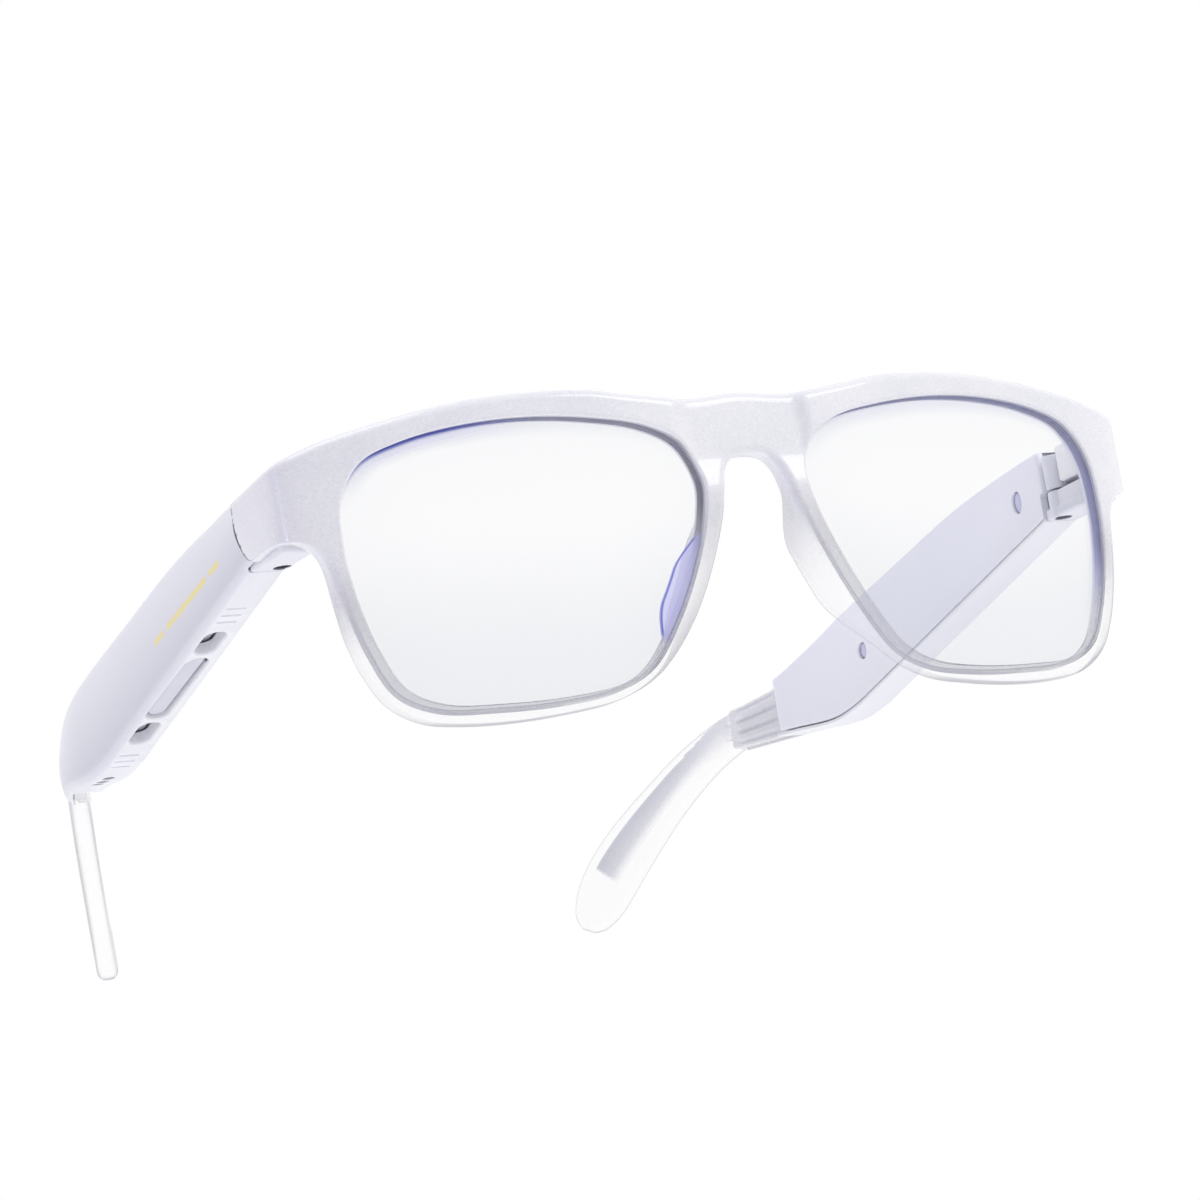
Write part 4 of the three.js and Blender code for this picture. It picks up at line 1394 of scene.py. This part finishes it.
def speaker_finish():
    finish = Finish("speaker_mesh")
    wave = 9000.0
    weave = ((finish.axis("X") * wave).sine() * (finish.axis("Y") * wave).sine() + 1.0) * 0.5
    grime = finish.noise(500.0)
    return finish.surface(
        Base_Color=finish.mix(weave * (0.7 + 0.3 * grime), (0.42, 0.42, 0.48), (0.74, 0.745, 0.80)),
        Roughness=0.5 + 0.2 * weave,
        Normal=finish.bump(weave, 0.00006, 0.6),
    )


def cad_finish(nodes, material):
    """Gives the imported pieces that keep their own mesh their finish."""
    for node in nodes:
        mesh = frame["nodes"][node].data
        mesh.materials.clear()
        mesh.materials.append(material)


def both(name):
    return [name + "_left", name + "_right"]


cad_finish(both("speaker_front") + both("speaker_rear"), speaker_finish())

# ---------------------------------------------------------------------------------------------
# Electronics: a battery in a foil pouch, green boards with a black processor, a flex cable and
# a dome switch, all closed in behind the cover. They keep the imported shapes.


def board_finish():
    finish = Finish("board")
    values = {"Vector": finish.place, "Scale": 900.0, "Mortar Size": 0.03}
    values.update({"Color1": (0.03, 0.24, 0.13), "Color2": (0.05, 0.30, 0.17), "Mortar": (0.45, 0.36, 0.16)})
    traces = finish.node("TexBrick", None, values)
    solder = finish.noise(1500.0)
    return finish.surface(
        Base_Color=finish.mix(0.25 * solder, traces, (0.02, 0.16, 0.09)),
        Roughness=0.35 + 0.2 * solder,
        Normal=finish.bump(solder, 0.00003, 0.3),
    )


def moulded(name, base, second, scale, roughness):
    finish = Finish(name)
    grain = finish.noise(scale, 3.0)
    return finish.surface(
        Base_Color=finish.mix(grain, base, second),
        Roughness=roughness + 0.2 * grain,
        Normal=finish.bump(grain, 0.00005, 0.4),
    )


def foil_finish():
    finish = Finish("battery_foil")
    crumple = finish.noise(260.0, 4.0, 0.6)
    return finish.surface(
        Base_Color=finish.mix(crumple, (0.52, 0.53, 0.56), (0.70, 0.71, 0.74)),
        Metallic=0.9,
        Roughness=0.28 + 0.2 * crumple,
        Normal=finish.bump(crumple, 0.0002, 0.5),
    )


cad_finish(["button_board_right", *both("circuit_board")], board_finish())
cad_finish(both("processor"), moulded("chip", (0.03, 0.03, 0.035), (0.07, 0.07, 0.08), 2500.0, 0.4))
cad_finish(both("flex_cable"), moulded("flex", (0.60, 0.36, 0.08), (0.50, 0.28, 0.05), 400.0, 0.3))
cad_finish(both("battery"), foil_finish())
cad_finish(["button_switch_right"], metal("switch_dome", (0.75, 0.75, 0.77), 0.2, (900, 900, 900)))
block_finish = moulded("contact_block", (0.70, 0.70, 0.76), (0.76, 0.76, 0.81), 1500.0, 0.4)
cad_finish(["contact_block_right"], block_finish)

# ---------------------------------------------------------------------------------------------
# Charging contacts: three dark plated pins, pressed into the contact block and showing in
# countersinks near the rear of the right temple's foot.

pin_material = metal("plated_pin", (0.22, 0.22, 0.25), 0.25, (2500, 2500, 2500))
for number, y in enumerate(CONTACTS, 1):
    x, z = contact_place(y)
    pin = disc(x, y, [(0.5, z + 0.22), (0.68, z + 0.27), (0.75, z + 0.42), (0.75, z + 2.9)]).mirrored()
    name = f"charging_pin_{number}_right"
    piece(name, pin.mesh(name), "right_temple", f"contact_pin_{number}_right", pin_material)

# ---------------------------------------------------------------------------------------------
# Stage: a pale floor far below, an even white surround with a dark side at the near left, soft
# lamps, and a camera to the right temple's side of the front, a little below it.

FLOOR_HALF = 12.0
FLOOR_DROP = 0.9
floor_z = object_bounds()[0].z - FLOOR_DROP
corners = [(x * FLOOR_HALF, y * FLOOR_HALF, floor_z) for x, y in ((-1, -1), (1, -1), (1, 1), (-1, 1))]
floor_mesh = bpy.data.meshes.new("floor")
floor_mesh.from_pydata(corners, [], [(0, 1, 2, 3)])
floor_mesh.materials.append(Finish("pale_floor").surface(Base_Color=(0.93, 0.93, 0.94), Roughness=0.9))
floor = bpy.data.objects.new("floor", floor_mesh)
bpy.context.scene.collection.objects.link(floor)

studio = Finish("studio", bpy.data.worlds)
toward = studio.node("TexCoord", output="Generated")
near_left = studio.axis("X", toward) * -0.80 - studio.axis("Y", toward) * 0.60
up = studio.axis("Z", toward)
surround = studio.mix(near_left.rise(0.15, 0.9), (1.06, 1.06, 1.06), (0.14, 0.14, 0.18))
surround = studio.mix(up.rise(-0.3, -0.9), surround, (1.60, 1.60, 1.62))
surround = studio.mix(up.rise(0.4, 0.95), surround, (1.0, 1.0, 1.02))
surround = studio.mix(studio.node("LightPath", output="Is Camera Ray"), surround, (1.0, 1.0, 1.0))
sky = studio.node("Background", values={"Color": surround, "Strength": 1.0})
bpy.context.scene.world = studio.node("OutputWorld", values={"Surface": sky})

AIM = Vector((0, 0, 0.02))
PLAIN = (1, 1, 1)
VIOLET = (0.72, 0.66, 1.0)
for name, place, size, power, colour in (
    ("key", (0.5, -0.9, 0.7), 0.5, 2.3, PLAIN),
    ("bounce", (0.0, 0.05, -0.75), 0.7, 1.1, PLAIN),
    ("top", (-0.2, -0.2, 1.3), 0.6, 2.0, PLAIN),
    ("corner", (-0.9, -0.25, 0.15), 0.10, 1.0, VIOLET),
):
    light = bpy.data.lights.new(name, "AREA")
    light.shape = "DISK"
    light.size = size
    light.energy = power
    light.color = colour
    lamp = bpy.data.objects.new(name, light)
    bpy.context.scene.collection.objects.link(lamp)
    lamp.location = place
    lamp.rotation_euler = (AIM - Vector(place)).to_track_quat("-Z", "Y").to_euler()

camera_data = bpy.data.cameras.new("camera")
camera_data.sensor_width = 36.0
camera_data.lens = 184.2
camera_data.clip_start = 0.05
camera_data.clip_end = 60
camera = bpy.data.objects.new("camera", camera_data)
bpy.context.scene.collection.objects.link(camera)
camera.location = (-0.4333, -0.8418, -0.1885)
camera.rotation_euler = [math.radians(angle) for angle in (103.57, 10.62, -25.50)]
bpy.context.scene.camera = camera
bpy.context.scene.view_settings.view_transform = "Standard"
